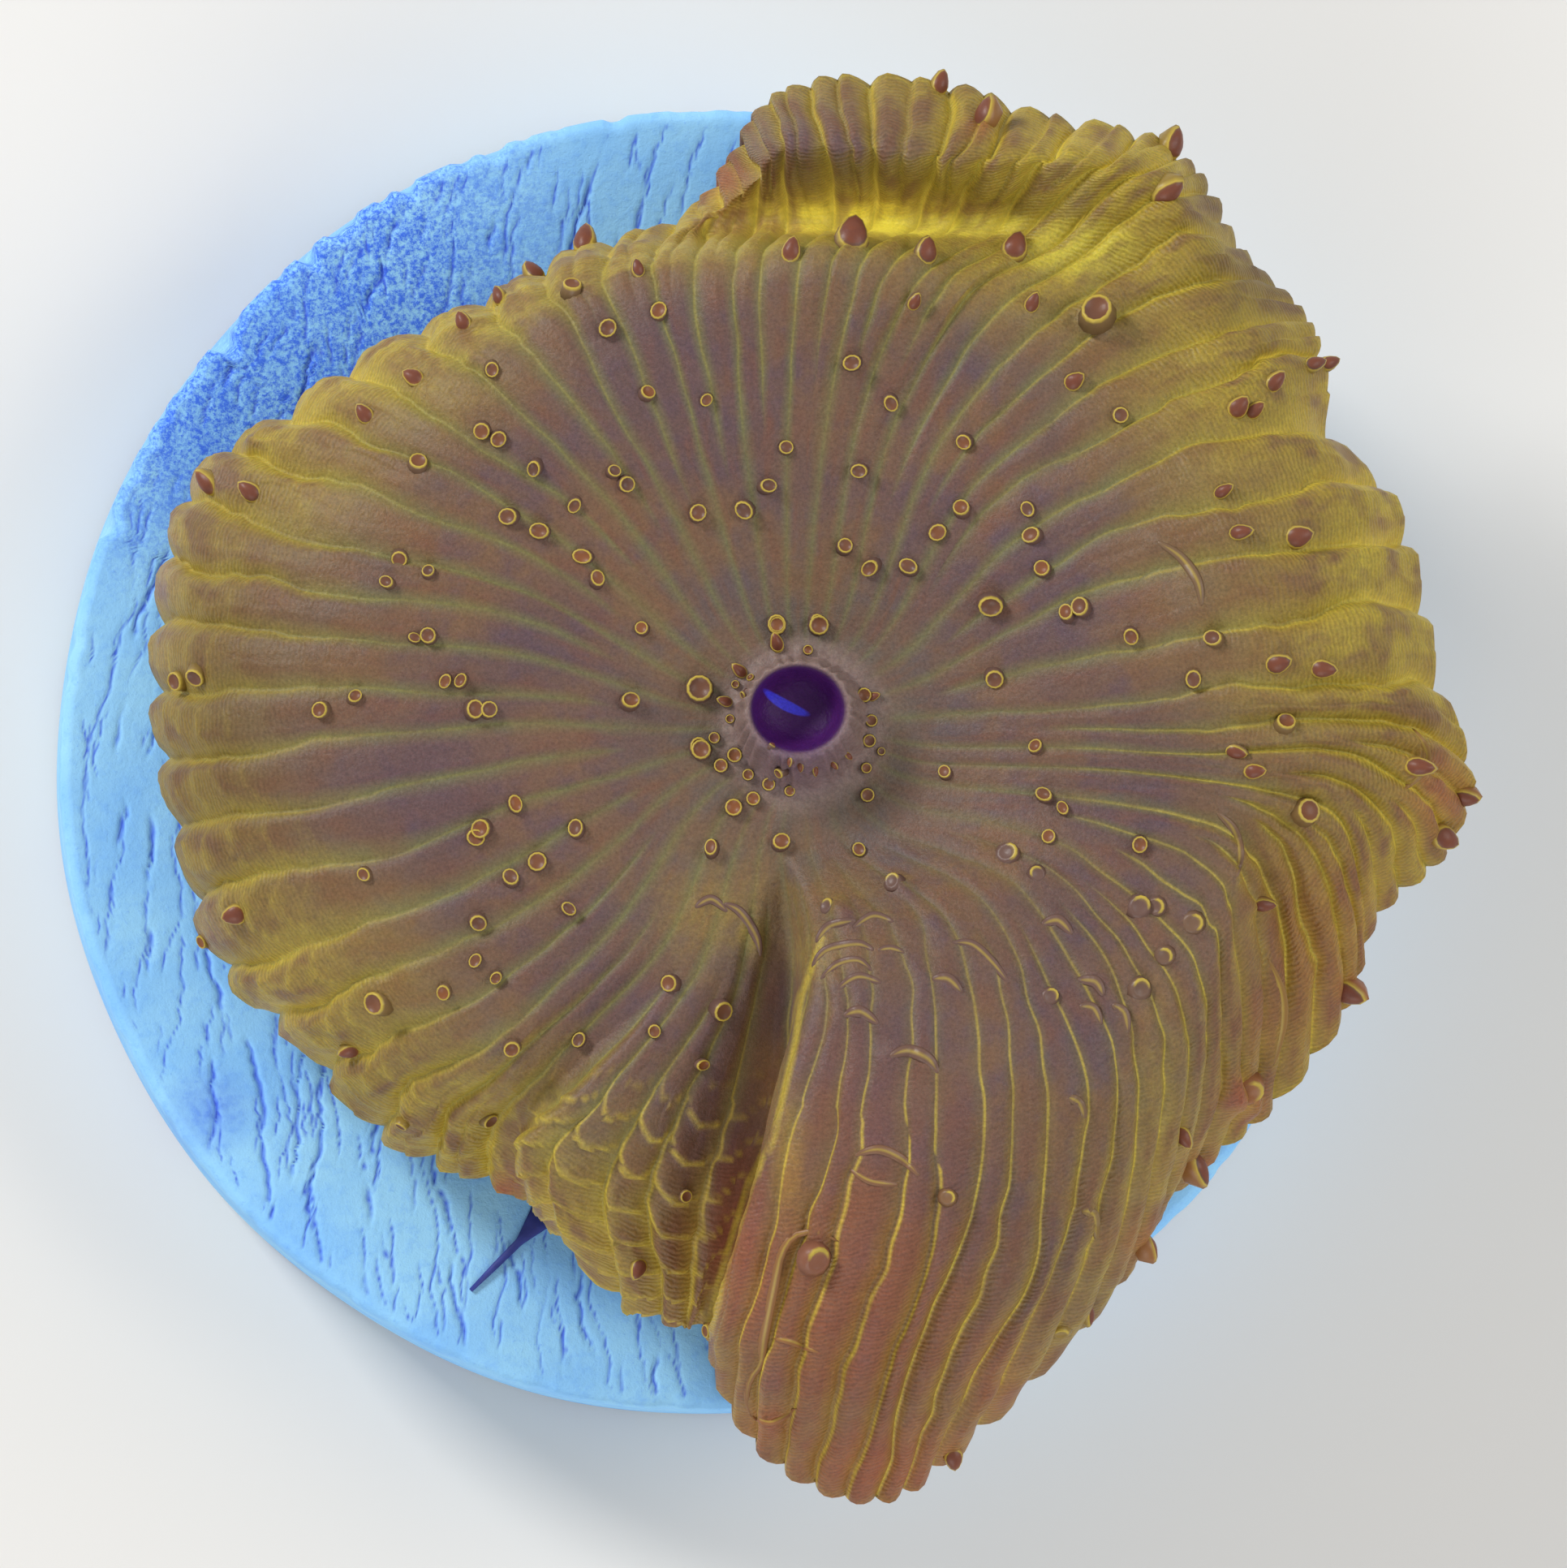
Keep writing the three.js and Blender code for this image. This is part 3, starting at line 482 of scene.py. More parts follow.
edge = skin_at(np.arange(RIBS), MARGIN)
column_middle = np.array([COLUMN_X, COLUMN_Y])
outward = edge[:, :2] - column_middle
away = np.linalg.norm(outward, axis=1, keepdims=True)
under_rings = [edge]
for number, step in enumerate(UNDER_STEPS):
    reach = away * (1 - step) + COLUMN_RINGS[0][0] * step
    plan = column_middle + outward / away * reach
    if number == 0:
        height = np.minimum(edge[:, 2], lowest_near(plan, MARGIN_REACH)) - MARGIN_THICKNESS
    else:
        height = np.maximum(lowest_near(plan, FLESH_REACH) - FLESH_THICKNESS, LOWEST_UNDERSIDE)
        height = np.minimum(height, (np.roll(height, 1) + height + np.roll(height, -1)) / 3)
    under_rings.append(np.column_stack([plan, height]))
for radius, z in COLUMN_RINGS:
    plan = column_middle + outward / away * radius
    under_rings.append(np.column_stack([plan, np.full(RIBS, z)]))
under_cage = np.stack(under_rings, axis=1)
print("underside", under_cage[..., 2].min().round(2), "to", under_cage[..., 2].max().round(2), "mm up")

# %% [markdown]
# Ribs and grooves
#
# A rib is a rounded ridge between two sharp grooves. Where ribs crowd together near the mouth, only
# every fourth groove and then every second one carries on inwards, as they fork in the real skin.
# Further out the ribs lie like roof tiles: each has a steep side that faces the upper left and a long
# gentle side behind it. The depth of a groove grows towards the margin, and never passes a share of
# its rib's width.

# %% Groove relief
# greatest depth at each station, from the mouth to the margin
GROOVE_DEPTHS = [0, 0.02, 0.06, 0.12, 0.26, 0.38, 0.4]
GROOVE_TO_WIDTH = 0.32
# widths of a rib above which its second-order and its third-order grooves show
CROWDED_WIDTHS = (0.22, 0.42)
TILT_OF_RIBS = 0.6
LIT_EDGE_PHASE, LIT_EDGE_HALF_WIDTH = 0.08, 0.085
# bearing, strength of every second groove, of the painted highlight lines and of the olive tone
RIB_STYLES = [
    (0, 0.15, 0.45, 1.0), (34, 0.15, 0.4, 1.0), (42, 0.12, 0.35, 1.0), (68, 0.12, 0.35, 1.0),
    (80, 0.5, 0.45, 0.9), (100, 0.6, 0.45, 0.8), (118, 0.4, 0.35, 0.9), (135, 0.15, 0.25, 1.0),
    (160, 0.1, 0.15, 0.8), (215, 0.12, 0.2, 0.9), (228, 0.4, 0.35, 1.0), (238, 0.1, 0.7, 0.8),
    (258, 0.1, 0.7, 0.5), (264, 0.9, 1.0, 0.1), (318, 1.0, 1.0, 0.15), (330, 1.0, 1.0, 0.6),
    (350, 0.9, 0.8, 0.8), (360, 0.15, 0.45, 1.0),
]


def groove_relief(rib, width, skew, second_part):
    """Share of a groove's depth, its lit edge with a painted highlight, its shaded side with painted shade
    and how wide its rib is.
    """
    kept = [smoothstep(width, limit, limit * 1.5) for limit in CROWDED_WIDTHS]
    kept[1] = kept[1] * second_part
    second = 0.5 + 0.5 * (1 - kept[1])
    spans = [second + (1 - kept[0]), second, np.full_like(rib, 0.5)]
    share, edge, painted_shade_side = np.zeros_like(rib), np.zeros_like(rib), np.zeros_like(rib)
    for step in range(-3, 5):
        groove = np.floor(rib) + step
        rank = np.where(groove % 4 == 0, 0, np.where(groove % 2 == 0, 1, 2))
        alive = np.choose(rank, [np.ones_like(rib), kept[0], kept[1]])
        gap = rib - groove
        reach = np.choose(rank, spans) * (1 - np.sign(gap) * TILT_OF_RIBS * skew)
        close = alive * np.clip(1 - np.abs(gap) / reach, 0, 1) ** 2
        shaded = np.where(gap * skew < 0, close * np.abs(skew), 0)
        painted_shade_side = np.where(close > share, shaded, painted_shade_side)
        share = np.maximum(share, close)
        off = np.abs(gap - LIT_EDGE_PHASE * np.rint(np.clip(1.2 * skew, -1, 1))) * width
        edge = np.maximum(edge, alive * np.clip(1 - off / LIT_EDGE_HALF_WIDTH, 0, 1))
    return share, edge, painted_shade_side, spans[0] + spans[1]


# %% [markdown]
# The skin is one grid whose columns follow the ribs, seven to a rib with two close to each groove,
# and whose lines run from the pit of the mouth over the lip, out along the ribs, round the margin
# and back under to the foot. The grid comes from the primitive; its points are then placed by the
# patches, the ribs are pressed in, and edit mode welds the seam and the two poles.

# %% Grid of the polyp
def new_grid(columns, lines):
    """A flat grid of so many columns and lines of points, and the column and line of each point."""
    pick()
    bpy.ops.mesh.primitive_grid_add(x_subdivisions=columns - 1, y_subdivisions=lines - 1, size=2)
    grid = bpy.context.active_object
    spots = (points_of(grid) * MM + 1) / 2
    column = np.rint(spots[:, 0] * (columns - 1)).astype(int)
    line = np.rint(spots[:, 1] * (lines - 1)).astype(int)
    return grid, column, line


RIB_PHASES = [0.0, 0.08, 0.18, 0.36, 0.6, 0.82, 0.92]
MOUTH_LINES = 14
# grid lines from each station of the disc to the next
STATION_LINES = [4, 16, 17, 17, 15, 14]
rib_columns = np.concatenate([k + np.array(RIB_PHASES) for k in range(RIBS)] + [[float(RIBS)]])
mouth_lines = np.linspace(0, len(MOUTH_RINGS), MOUTH_LINES + 1)[:-1]
disc_lines = np.concatenate([
    k + np.arange(count) / count for k, count in enumerate(STATION_LINES)
] + [[float(MARGIN)]])
under_lines = np.array([0.15, 0.4, 1, 1.6, 2.3, 3, 3.7, 4.4, 5, 5.7, 6.4, 7, 7.7, 8.4, 9])
line_count = len(mouth_lines) + len(disc_lines) + len(under_lines) + 1
column_count = len(rib_columns)
polyp, column, line = new_grid(column_count, line_count)
print(column_count, "columns by", line_count, "lines")

# %% [markdown]
# Some forms belong to one place only: the stacked folds at the root of the tongue, the crescents on
# it, a raised strip along its left side, a blister, and a few flaps. Each fold is a bent line with a
# half width and a height, and each swelling is a round spot; the skin rises near them.

# %% Folds and swellings of their own
# half width, height, then places along the fold
FOLDS = [
    (0.16, 0.2, [(10.6, 5.1), (11.2, 4.7), (11.6, 4.1), (11.7, 3.5)]),
    (0.16, 0.16, [(2.3, -4.7), (2.65, -4.3), (3.3, -4.15)]),
    (0.16, 0.16, [(2.2, -5.3), (2.55, -4.9), (3.3, -4.75), (3.7, -4.9)]),
    (0.14, 0.14, [(3.2, -4.35), (3.7, -4.05), (4.2, -4.2)]),
    (0.12, 0.12, [(3.8, -4.9), (4.1, -4.85), (4.45, -4.95)]),
    (0.14, 0.14, [(2.4, -5.6), (2.8, -5.25), (3.3, -5.15), (3.65, -5.4)]),
    (0.14, 0.12, [(2.8, -5.85), (3.3, -5.55), (3.9, -5.7)]),
    (0.18, 0.2, [(2.95, -6.5), (3.35, -6.4), (3.8, -6.7)]),
    (0.2, 0.24, [(4.05, -7.5), (4.5, -7.35), (5.0, -7.55), (5.25, -7.9)]),
    (0.18, 0.2, [(5.1, -5.6), (5.5, -5.6), (5.85, -5.95)]),
    (0.15, 0.14, [(5.6, -4.7), (6.1, -4.75), (6.6, -5.2), (7.0, -5.7)]),
    (0.18, 0.16, [(7.8, -4.25), (8.2, -4.15), (8.55, -4.5)]),
    (0.18, 0.18, [(8.65, -5.6), (9.1, -5.65), (9.3, -6.0)]),
    (0.16, 0.16, [(8.7, -6.25), (9.05, -6.3), (9.25, -6.7)]),
    (0.16, 0.16, [(9.5, -6.2), (9.8, -6.4), (9.9, -6.9)]),
    (0.15, 0.14, [(3.2, -9.9), (3.8, -9.75), (4.4, -10.0), (4.8, -10.4)]),
    (0.12, 0.08, [(3.1, -10.2), (3.6, -10.5), (4.3, -10.6)]),
    (0.16, 0.16, [(8.4, -8.45), (8.7, -8.6), (8.85, -9.0)]),
    (0.16, 0.18, [(8.8, -11.2), (9.1, -11.3), (9.2, -11.9)]),
    (0.15, 0.18, [(2.9, -12.0), (2.3, -11.75), (1.75, -11.85), (1.45, -12.3), (1.3, -13.0), (1.15, -13.8),
                  (1.05, -14.4), (1.0, -14.9), (0.75, -15.3), (0.7, -15.8), (0.85, -16.2)]),
    (0.12, 0.1, [(1.3, -14.3), (1.8, -14.4), (2.4, -14.65)]),
    (0.13, 0.12, [(0.85, -16.15), (1.3, -16.3), (1.9, -16.0)]),
    (0.15, 0.16, [(0.1, -3.7), (0.5, -3.9), (0.9, -4.5), (1.0, -5.0)]),
    (0.14, 0.12, [(-0.6, -3.8), (-0.2, -3.6), (0.2, -3.9)]),
    (0.16, 0.14, [(13.4, -5.0), (13.75, -5.8), (13.8, -6.6), (13.6, -7.6)]),
    (0.16, 0.14, [(12.1, -1.5), (12.5, -1.9), (12.65, -2.5), (12.55, -3.1)]),
    (0.15, 0.12, [(16.7, -0.9), (17.1, -0.5), (17.25, 0.0), (16.9, 0.6)]),
]
# how much wider than the fold the skin rises under it, and to what share of its height
FOLD_FOOT, FOLD_RISE = 2.2, 0.5
# x, y, radius and height
SWELLINGS = [
    (2.3, -12.4, 0.5, 0.22), (1.2, -15.6, 0.5, 0.14), (0.2, -14.3, 0.7, 0.15), (9.2, 10.55, 0.6, 0.45),
    (6.5, 15.2, 0.6, 0.22), (12.9, -8.4, 0.7, 0.4), (11.0, 14.6, 0.5, 0.2), (2.9, -3.9, 0.45, 0.3),
    (4.4, -3.3, 0.4, 0.2), (-0.2, -2.4, 0.35, 0.15), (17.0, -0.3, 0.5, 0.2), (13.1, -3.7, 0.4, 0.2),
    (5.5, -10.9, 0.3, 0.12), (16.2, 4.9, 0.6, 0.15), (16.0, 6.2, 0.6, 0.12),
]


def near_path(points, path):
    """Distance in plan from each point to a bent line through these places."""
    best = np.full(points.shape[:-1], np.inf)
    for start, end in zip(path, path[1:]):
        start, way = np.array(start), np.array(end) - np.array(start)
        share = np.clip(((points[..., :2] - start) @ way) / (way @ way), 0, 1)
        gap = points[..., :2] - start - share[..., None] * way
        best = np.minimum(best, np.hypot(gap[..., 0], gap[..., 1]))
    return best


print(len(FOLDS), "folds and", len(SWELLINGS), "swellings")

# %% [markdown]
# Real grooves wander a little. Each column is shifted along the ribs by a slow wave that differs
# from rib to rib, which leaves the grooves their sharp edges and takes the drawn look off them. The
# same kind of wave, with more or fewer knots along a rib, later makes the wrinkles and swellings
# uneven. One generator with a fixed seed gives them all, so the skin comes out the same each time.

# %% Seeded waves
dice = np.random.default_rng(11)
rib, station = rib_columns[None, :], disc_lines[:, None]


def uneven(knots, spread=1.0):
    """A seeded wave for each rib, smooth along it and blended to its neighbours across."""
    table = dice.uniform(-spread, spread, (RIBS, knots + 1))
    shift = dice.uniform(0, 1, RIBS)
    ribs, lines = np.broadcast_arrays(rib, station)
    across = ribs - np.floor(ribs)
    value = np.zeros(ribs.shape)
    for side, weight in ((0, 1 - across), (1, across)):
        number = (np.floor(ribs).astype(int) + side) % RIBS
        spot = lines / MARGIN * (knots - 1) + shift[number]
        k = np.minimum(np.floor(spot).astype(int), knots - 1)
        along = smoothstep(spot - k, 0.0, 1.0)
        value += weight * (table[number, k] * (1 - along) + table[number, k + 1] * along)
    return value


wander = uneven(9, 0.3) + uneven(34, 0.08)
wander *= np.clip(station - 0.5, 0, 1) * np.clip((MARGIN - station) * 2 + 0.3, 0, 1)
print("grooves wander by up to", np.abs(wander).max().round(2), "of a rib")

# %% [markdown]
# The relief is raised from the smooth skin, so each of its points needs the direction square to the
# skin there. Two short steps along the skin, one outwards and one sideways, give it. The width of the
# rib and the way already run along it set the size of what comes next.

# %% Smooth skin under the relief
STEP = 0.05

wandering_rib = rib + wander
smooth = skin_at(wandering_rib, station)
outer, inner = np.minimum(station + STEP, MARGIN), np.maximum(station - STEP, 0)
outwards = skin_at(wandering_rib, outer) - skin_at(wandering_rib, inner)
sideways = skin_at(wandering_rib + STEP, station) - skin_at(wandering_rib - STEP, station)
square = np.cross(outwards, sideways)
square /= np.maximum(np.linalg.norm(square, axis=-1, keepdims=True), 1e-9)
rib_width = np.linalg.norm(
    skin_at(wandering_rib + 0.5, station) - skin_at(wandering_rib - 0.5, station), axis=-1)
steps = np.linalg.norm(np.diff(smooth, axis=0), axis=-1)
run = np.concatenate([np.zeros((1, column_count)), np.cumsum(steps, axis=0)])
print("ribs are", rib_width.min().round(2), "to", rib_width.max().round(2), "mm wide")

# %% [markdown]
# The ribs differ round the disc: at the upper right every second groove is faint, on the tongue all
# are bright and sharp, and at the lower left they are broad and plain. So the table of styles is read
# at the bearing of each column, and a narrow stretch of the margin at the upper right is pleated.

# %% Grooves by bearing
LEE_BEARING = 225
# bearing, half width in degrees and steepness of the stretch of margin that is pleated
PLEAT_BEARING, PLEAT_WIDTH, PLEAT_POWER = 54, 14, 4

full_rib = np.broadcast_to(rib, rib_width.shape)
bearing_of_rib = np.interp(rib_columns, rib_starts, bearings)[None, :]
bearing_round = np.mod(bearing_of_rib, 360)
style_bearings, second_parts, line_parts, olive_parts = (np.array(values) for values in zip(*RIB_STYLES))
outer_part = smoothstep(station, 2.0, 3.8)
skew = np.cos(np.radians(bearing_of_rib - LEE_BEARING)) * outer_part
second_part = np.interp(bearing_round, style_bearings, second_parts)
pleated = np.exp(-(((bearing_round - PLEAT_BEARING) / PLEAT_WIDTH) ** PLEAT_POWER))
pleated = smoothstep(station, 5.0, 5.8) * pleated
second_part = second_part + (1 - second_part) * pleated
groove_share, lit_edge, painted_shade_on_rib, span = groove_relief(full_rib, rib_width, skew, second_part)
full_depth = np.interp(station, np.arange(MARGIN + 1), GROOVE_DEPTHS)
depth = np.minimum(full_depth, GROOVE_TO_WIDTH * span * rib_width)
crest = 1 - groove_share
print("deepest groove", (depth * groove_share).max().round(2), "mm")

# %% [markdown]
# Fine wrinkles cross the ribs, low swellings lift some of them, and towards the margin at the lower
# left and on the left lobe the flesh lies in terraces like tiles. Each keeps to the crests, so the
# grooves stay clean, and the folds and swellings of the table above are added last.

# %% Relief of the skin
WRINKLE_LENGTH, WRINKLE_HEIGHT = 0.55, 0.012
SWELL_HEIGHT = 0.055
TERRACE_LENGTH, TERRACE_HEIGHT = 1.0, 0.18
UPWARD = 0.1

wrinkle = np.sin((run + uneven(30, 0.14)) * 2 * math.pi / WRINKLE_LENGTH + uneven(6, 3.0))
wrinkle *= WRINKLE_HEIGHT * outer_part * crest * (0.6 + uneven(18, 0.6))
swell = SWELL_HEIGHT * uneven(24) * smoothstep(station, 1.0, 3.0) * crest
terrace = np.mod(run / TERRACE_LENGTH - 0.35 * crest + uneven(3, 0.6), 1.0)
lower_left = 0.45 * np.exp(-(((bearing_of_rib - 205) / 45) ** 2)) * smoothstep(station, 3.4, 4.6)
lobe = np.exp(-(((bearing_of_rib - 247) / 13) ** 4)) * smoothstep(station, 2.5, 3.3)
terraced = np.maximum(lower_left, lobe)
on_crest = np.clip(crest * 2, 0, 1)
terraces = TERRACE_HEIGHT * (terrace**1.5 - 0.4) * terraced * on_crest
# a painted highlight line along the crest of each terrace step
terrace_highlight_line = terraced * np.clip(1 - np.abs(terrace - 0.93) / 0.13, 0, 1) * on_crest
faces_up = square[..., 2] > UPWARD
fold_rise = np.zeros_like(full_rib)
for half_width, rise, path in FOLDS:
    near = np.clip(1 - near_path(smooth, path) / (FOLD_FOOT * half_width), 0, 1) * faces_up
    fold_rise = np.maximum(fold_rise, FOLD_RISE * rise * smoothstep(near, 0.0, 1.0))
for x, y, radius, rise in SWELLINGS:
    near = np.clip(1 - np.hypot(smooth[..., 0] - x, smooth[..., 1] - y) / radius, 0, 1)
    fold_rise = fold_rise + rise * smoothstep(near, 0.0, 1.0) * faces_up
relief = -depth * groove_share + wrinkle + swell + terraces + fold_rise
skin_points = smooth + square * relief[..., None]
print("relief from", relief.min().round(2), "to", relief.max().round(2), "mm")

# %% [markdown]
# The cone of the mouth is furrowed from the lip down, with furrows that differ in width. The first
# lines of the underside still carry the relief of the margin, so its scallops have a rounded lower
# edge. With the foot's middle as one last line, the grid's points all have their places.

# %% Mouth, underside and foot
FURROWS, FURROW_DEPTH = 26, 0.045
CARRY_LINES = 1.5

mouth_points = patch(mouth_cage, row_at(rib), mouth_lines[:, None])
around = bearing_of_rib * math.pi / 180
furrows = np.sin(around * FURROWS + 1.5 * np.sin(around * 7))
furrows = FURROW_DEPTH * furrows * smoothstep(mouth_lines, 4.6, 6.5)[:, None]
from_middle = mouth_points[..., :2] - np.array([MOUTH_X, MOUTH_Y])
from_middle /= np.maximum(np.linalg.norm(from_middle, axis=-1, keepdims=True), 1e-6)
mouth_points[..., :2] += from_middle * furrows[..., None]
under_points = patch(under_cage, np.mod(rib, RIBS), under_lines[:, None])
carry = np.clip(1 - under_lines / CARRY_LINES, 0, 1)[:, None, None]
under_points = under_points + carry * (skin_points[-1] - smooth[-1])[None]
foot = np.broadcast_to([COLUMN_X, COLUMN_Y, 0.0], (1, column_count, 3))
grid_points = np.concatenate([mouth_points, skin_points, under_points, foot])
grid_points = grid_points + np.array([0, 0, CERAMIC_TOP])
move_points(polyp, grid_points[line, column])
print("skin reaches", grid_points[..., 2].max().round(2), "mm up")

# %% [markdown]
# The finish has to know where it is on a rib: how near a groove, the lit edge that gets a painted
# highlight or the shaded side that gets painted shade, which rib it is, and how far out. All of that
# is known here on the grid, so it is stored with the points before the seam is welded.

# %% Numbers that the finish reads
def on_grid(mouth, disc, under):
    """One value per point of the grid from its three parts; a bare number fills a part."""
    parts = [(mouth, len(mouth_lines)), (disc, len(disc_lines)), (under, len(under_lines) + 1)]
    full = [np.broadcast_to(np.asarray(value, dtype=float), (lines, column_count)) for value, lines in parts]
    return np.concatenate(full)[line, column]


under_share = smoothstep(np.append(under_lines, 10), 0.3, 1.3)[:, None]
shingled = 0.2 + 0.8 * np.exp(-(((bearing_round - 325) / 38) ** 2))
# each name with its values on the mouth, the disc and the underside
GRID_VALUES = {
    # the lit-edge values and line strengths place painted highlight lines, the terrace-edge values a painted
    # highlight and the shaded-side values painted shade
    "edge": (0, lit_edge, 0),
    "band": (0, groove_share, 0),
    "rib": (0, full_rib, full_rib[:1]),
    "lines": (0, np.interp(bearing_round, style_bearings, line_parts), 0),
    "olive": (0, np.interp(bearing_round, style_bearings, olive_parts), 0),
    "terrace_highlight": (0, terrace_highlight_line, 0),
    "painted_shade_side": (0, painted_shade_on_rib * shingled, 0),
    "station": (-1, station, MARGIN),
    "run": (0, run, run[-1]),
    "pit": ((1 - smoothstep(mouth_lines, 3.6, 4.9))[:, None], 0, 0),
    "cone": (1, 1 - smoothstep(station, 0.0, 0.6), 0),
    "under": (0, 0, under_share),
}
for name, parts in GRID_VALUES.items():
    write_attribute(polyp, name, on_grid(*parts))
close_and_face_out(polyp, 0.004 * MM)
settle(polyp, "polyp_skin")
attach(polyp, "root")
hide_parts("mushroom_polyp")

# %% [markdown]
# Two more numbers help the finish: how steep the skin is, and how much open sky each point sees.
# The finish paints a yellow rim sheen, a glow and shade from them.
# The second one is measured with a few rays from each point, always the same ones, against a tree of
# the skin's own faces.

# %% Slope and open sky
# lean of each ring of rays from straight up, in degrees, and the rays in it
SKY_RINGS = [(25, 3), (55, 5)]
RAY_START, RAY_REACH = 0.06 * MM, 6 * MM

normals = np.empty(len(polyp.data.vertices) * 3)
polyp.data.vertices.foreach_get("normal", normals)
normals = normals.reshape(-1, 3)
write_attribute(polyp, "steep", np.clip(1 - normals[:, 2], 0, 1))

skin_tree = BVHTree.FromPolygons(
    [v.co.copy() for v in polyp.data.vertices], [tuple(f.vertices) for f in polyp.data.polygons])
sky_rays = [
    Vector((math.cos(a) * math.sin(lean), math.sin(a) * math.sin(lean), math.cos(lean)))
    for lean, turns in ((math.radians(degrees), turns) for degrees, turns in SKY_RINGS)
    for a in np.linspace(0, 2 * math.pi, turns, endpoint=False) + lean
]
open_sky = np.ones(len(polyp.data.vertices))
for vertex in polyp.data.vertices:
    if vertex.normal.z > -0.2:
        start = vertex.co + vertex.normal * RAY_START
        blocked = sum(skin_tree.ray_cast(start, ray, RAY_REACH)[0] is not None for ray in sky_rays)
        open_sky[vertex.index] = 1 - blocked / len(sky_rays)
write_attribute(polyp, "open_sky", open_sky)
print("share of the skin that is steep:", round(float(np.mean(normals[:, 2] < 0.5)), 2))
print("mean open sky:", round(float(open_sky.mean()), 2))

# %% [markdown]
# Some tones keep to places rather than to shapes. The valley behind the upper ridge is bright yellow,
# the lower end of the tongue and its left side are orange brown, the rolled rim at the left is a pale
# pink, and the folds under the tongue's side, the lowest pleat at the upper right and a few other
# hollows get painted shade. Each is a handful of soft ovals, written onto the mesh as one number.

# %% Tones that keep to places
# x, y, reach across, reach up and strength of each oval
TONE_AREAS = {
    "yellow": [
        (5.0, 12.9, 6.0, 0.6, 1.0), (9.5, 13.6, 2.6, 2.0, 0.7), (15.8, 4.5, 1.8, 5.0, 0.75),
        (13.0, 9.3, 2.6, 2.6, 0.7), (1.5, -10.0, 0.5, 3.2, 0.15), (8.7, 12.3, 3.2, 1.5, 0.95),
        (3.0, 13.2, 4.0, 0.7, 0.9), (-9.0, 9.0, 3.0, 1.2, 0.5), (-12.4, 0.5, 1.3, 6.5, 0.15),
        (-9.5, -6.5, 2.4, 2.0, 0.4), (17.3, 0.0, 1.4, 2.8, 0.4), (14.6, -3.0, 2.0, 2.6, 0.35),
        (10.8, -9.5, 0.9, 3.0, 0.45), (-3.8, -11.0, 2.0, 2.4, 0.45), (0.8, -4.4, 0.5, 0.6, 0.6),
        (2.2, -5.0, 0.5, 0.8, 0.4), (8.2, 14.3, 1.4, 1.2, 0.85), (1.6, -10.2, 0.35, 1.8, 0.6),
        (-4.2, -9.0, 0.6, 1.6, 0.5), (1.0, 12.3, 5.5, 0.6, 0.35), (0.0, -4.0, 2.0, 1.5, 0.3),
        (14.8, 1.0, 2.5, 1.0, 0.4), (-10.2, 6.5, 1.5, 1.5, 0.4),
    ],
    "warm": [
        (0.7, -12.6, 0.9, 2.6, 0.9), (3.4, -17.2, 2.4, 1.3, 0.8), (1.3, -16.4, 1.0, 0.8, 0.9),
        (6.6, -15.2, 1.2, 1.6, 0.6), (0.1, 14.1, 0.7, 0.5, 0.9), (3.0, -13.8, 3.2, 4.0, 0.7),
        (1.6, -10.6, 0.6, 1.6, 0.5), (14.6, -4.8, 2.0, 2.6, 0.5), (4.0, -17.4, 3.0, 1.4, 0.95),
        (3.0, -9.5, 1.6, 2.2, 0.3), (12.9, -8.4, 0.6, 0.6, 1.0), (12.0, -10.2, 0.5, 0.6, 1.0),
        (17.6, -1.0, 0.9, 1.2, 0.8), (15.5, -5.7, 0.6, 0.5, 0.9), (6.5, 15.3, 0.5, 0.4, 0.7),
        (-5.2, -10.6, 0.5, 0.4, 0.9), (10.6, -12.0, 0.8, 0.6, 0.7), (13.3, -6.3, 0.5, 1.5, 0.6),
    ],
    "pale": [
        (-13.6, 4.8, 0.5, 2.4, 0.35), (-12.9, 6.7, 0.8, 0.5, 0.4), (-12.5, -4.9, 0.6, 1.8, 0.3),
        (-11.0, -7.2, 0.7, 1.1, 0.3), (-8.9, -9.7, 1.4, 0.6, 0.3), (-13.9, 1.0, 0.3, 3.0, 0.15),
        (9.2, 10.5, 0.25, 0.25, 0.9), (2.3, -12.4, 0.3, 0.2, 0.7),
    ],
    # ovals darkened with painted shade
    "painted_shade_area": [
        (13.4, 12.0, 1.3, 1.6, 0.9), (0.8, -8.6, 0.5, 3.4, 0.25), (7.3, 15.4, 0.25, 0.2, 1.0),
        (13.2, -5.5, 0.4, 1.6, 0.5), (12.2, 13.6, 0.6, 1.2, 0.8), (-12.6, 0.5, 1.8, 6.5, 0.75),
        (-9.5, -8.0, 2.2, 1.8, 0.3),
    ],
    "mauve": [
        (2.0, 15.0, 2.8, 1.4, 1.0), (0.0, -8.8, 1.4, 3.6, 0.95), (1.5, -6.2, 0.7, 1.8, 0.9),
        (-2.8, -9.0, 2.0, 2.0, 0.5), (3.4, -14.0, 0.5, 2.0, 0.7), (1.3, -15.4, 0.5, 0.5, 0.9),
        (-2.0, -6.5, 2.2, 2.6, 0.7), (4.8, -8.8, 1.8, 2.0, 0.5), (-7.0, -0.5, 3.0, 1.6, 0.8),
        (8.8, 13.4, 0.4, 0.7, 0.8), (2.3, -12.4, 0.35, 0.3, 1.0), (-1.0, 9.5, 3.0, 1.5, 0.4),
    ],
}
skin_places = points_of(polyp)
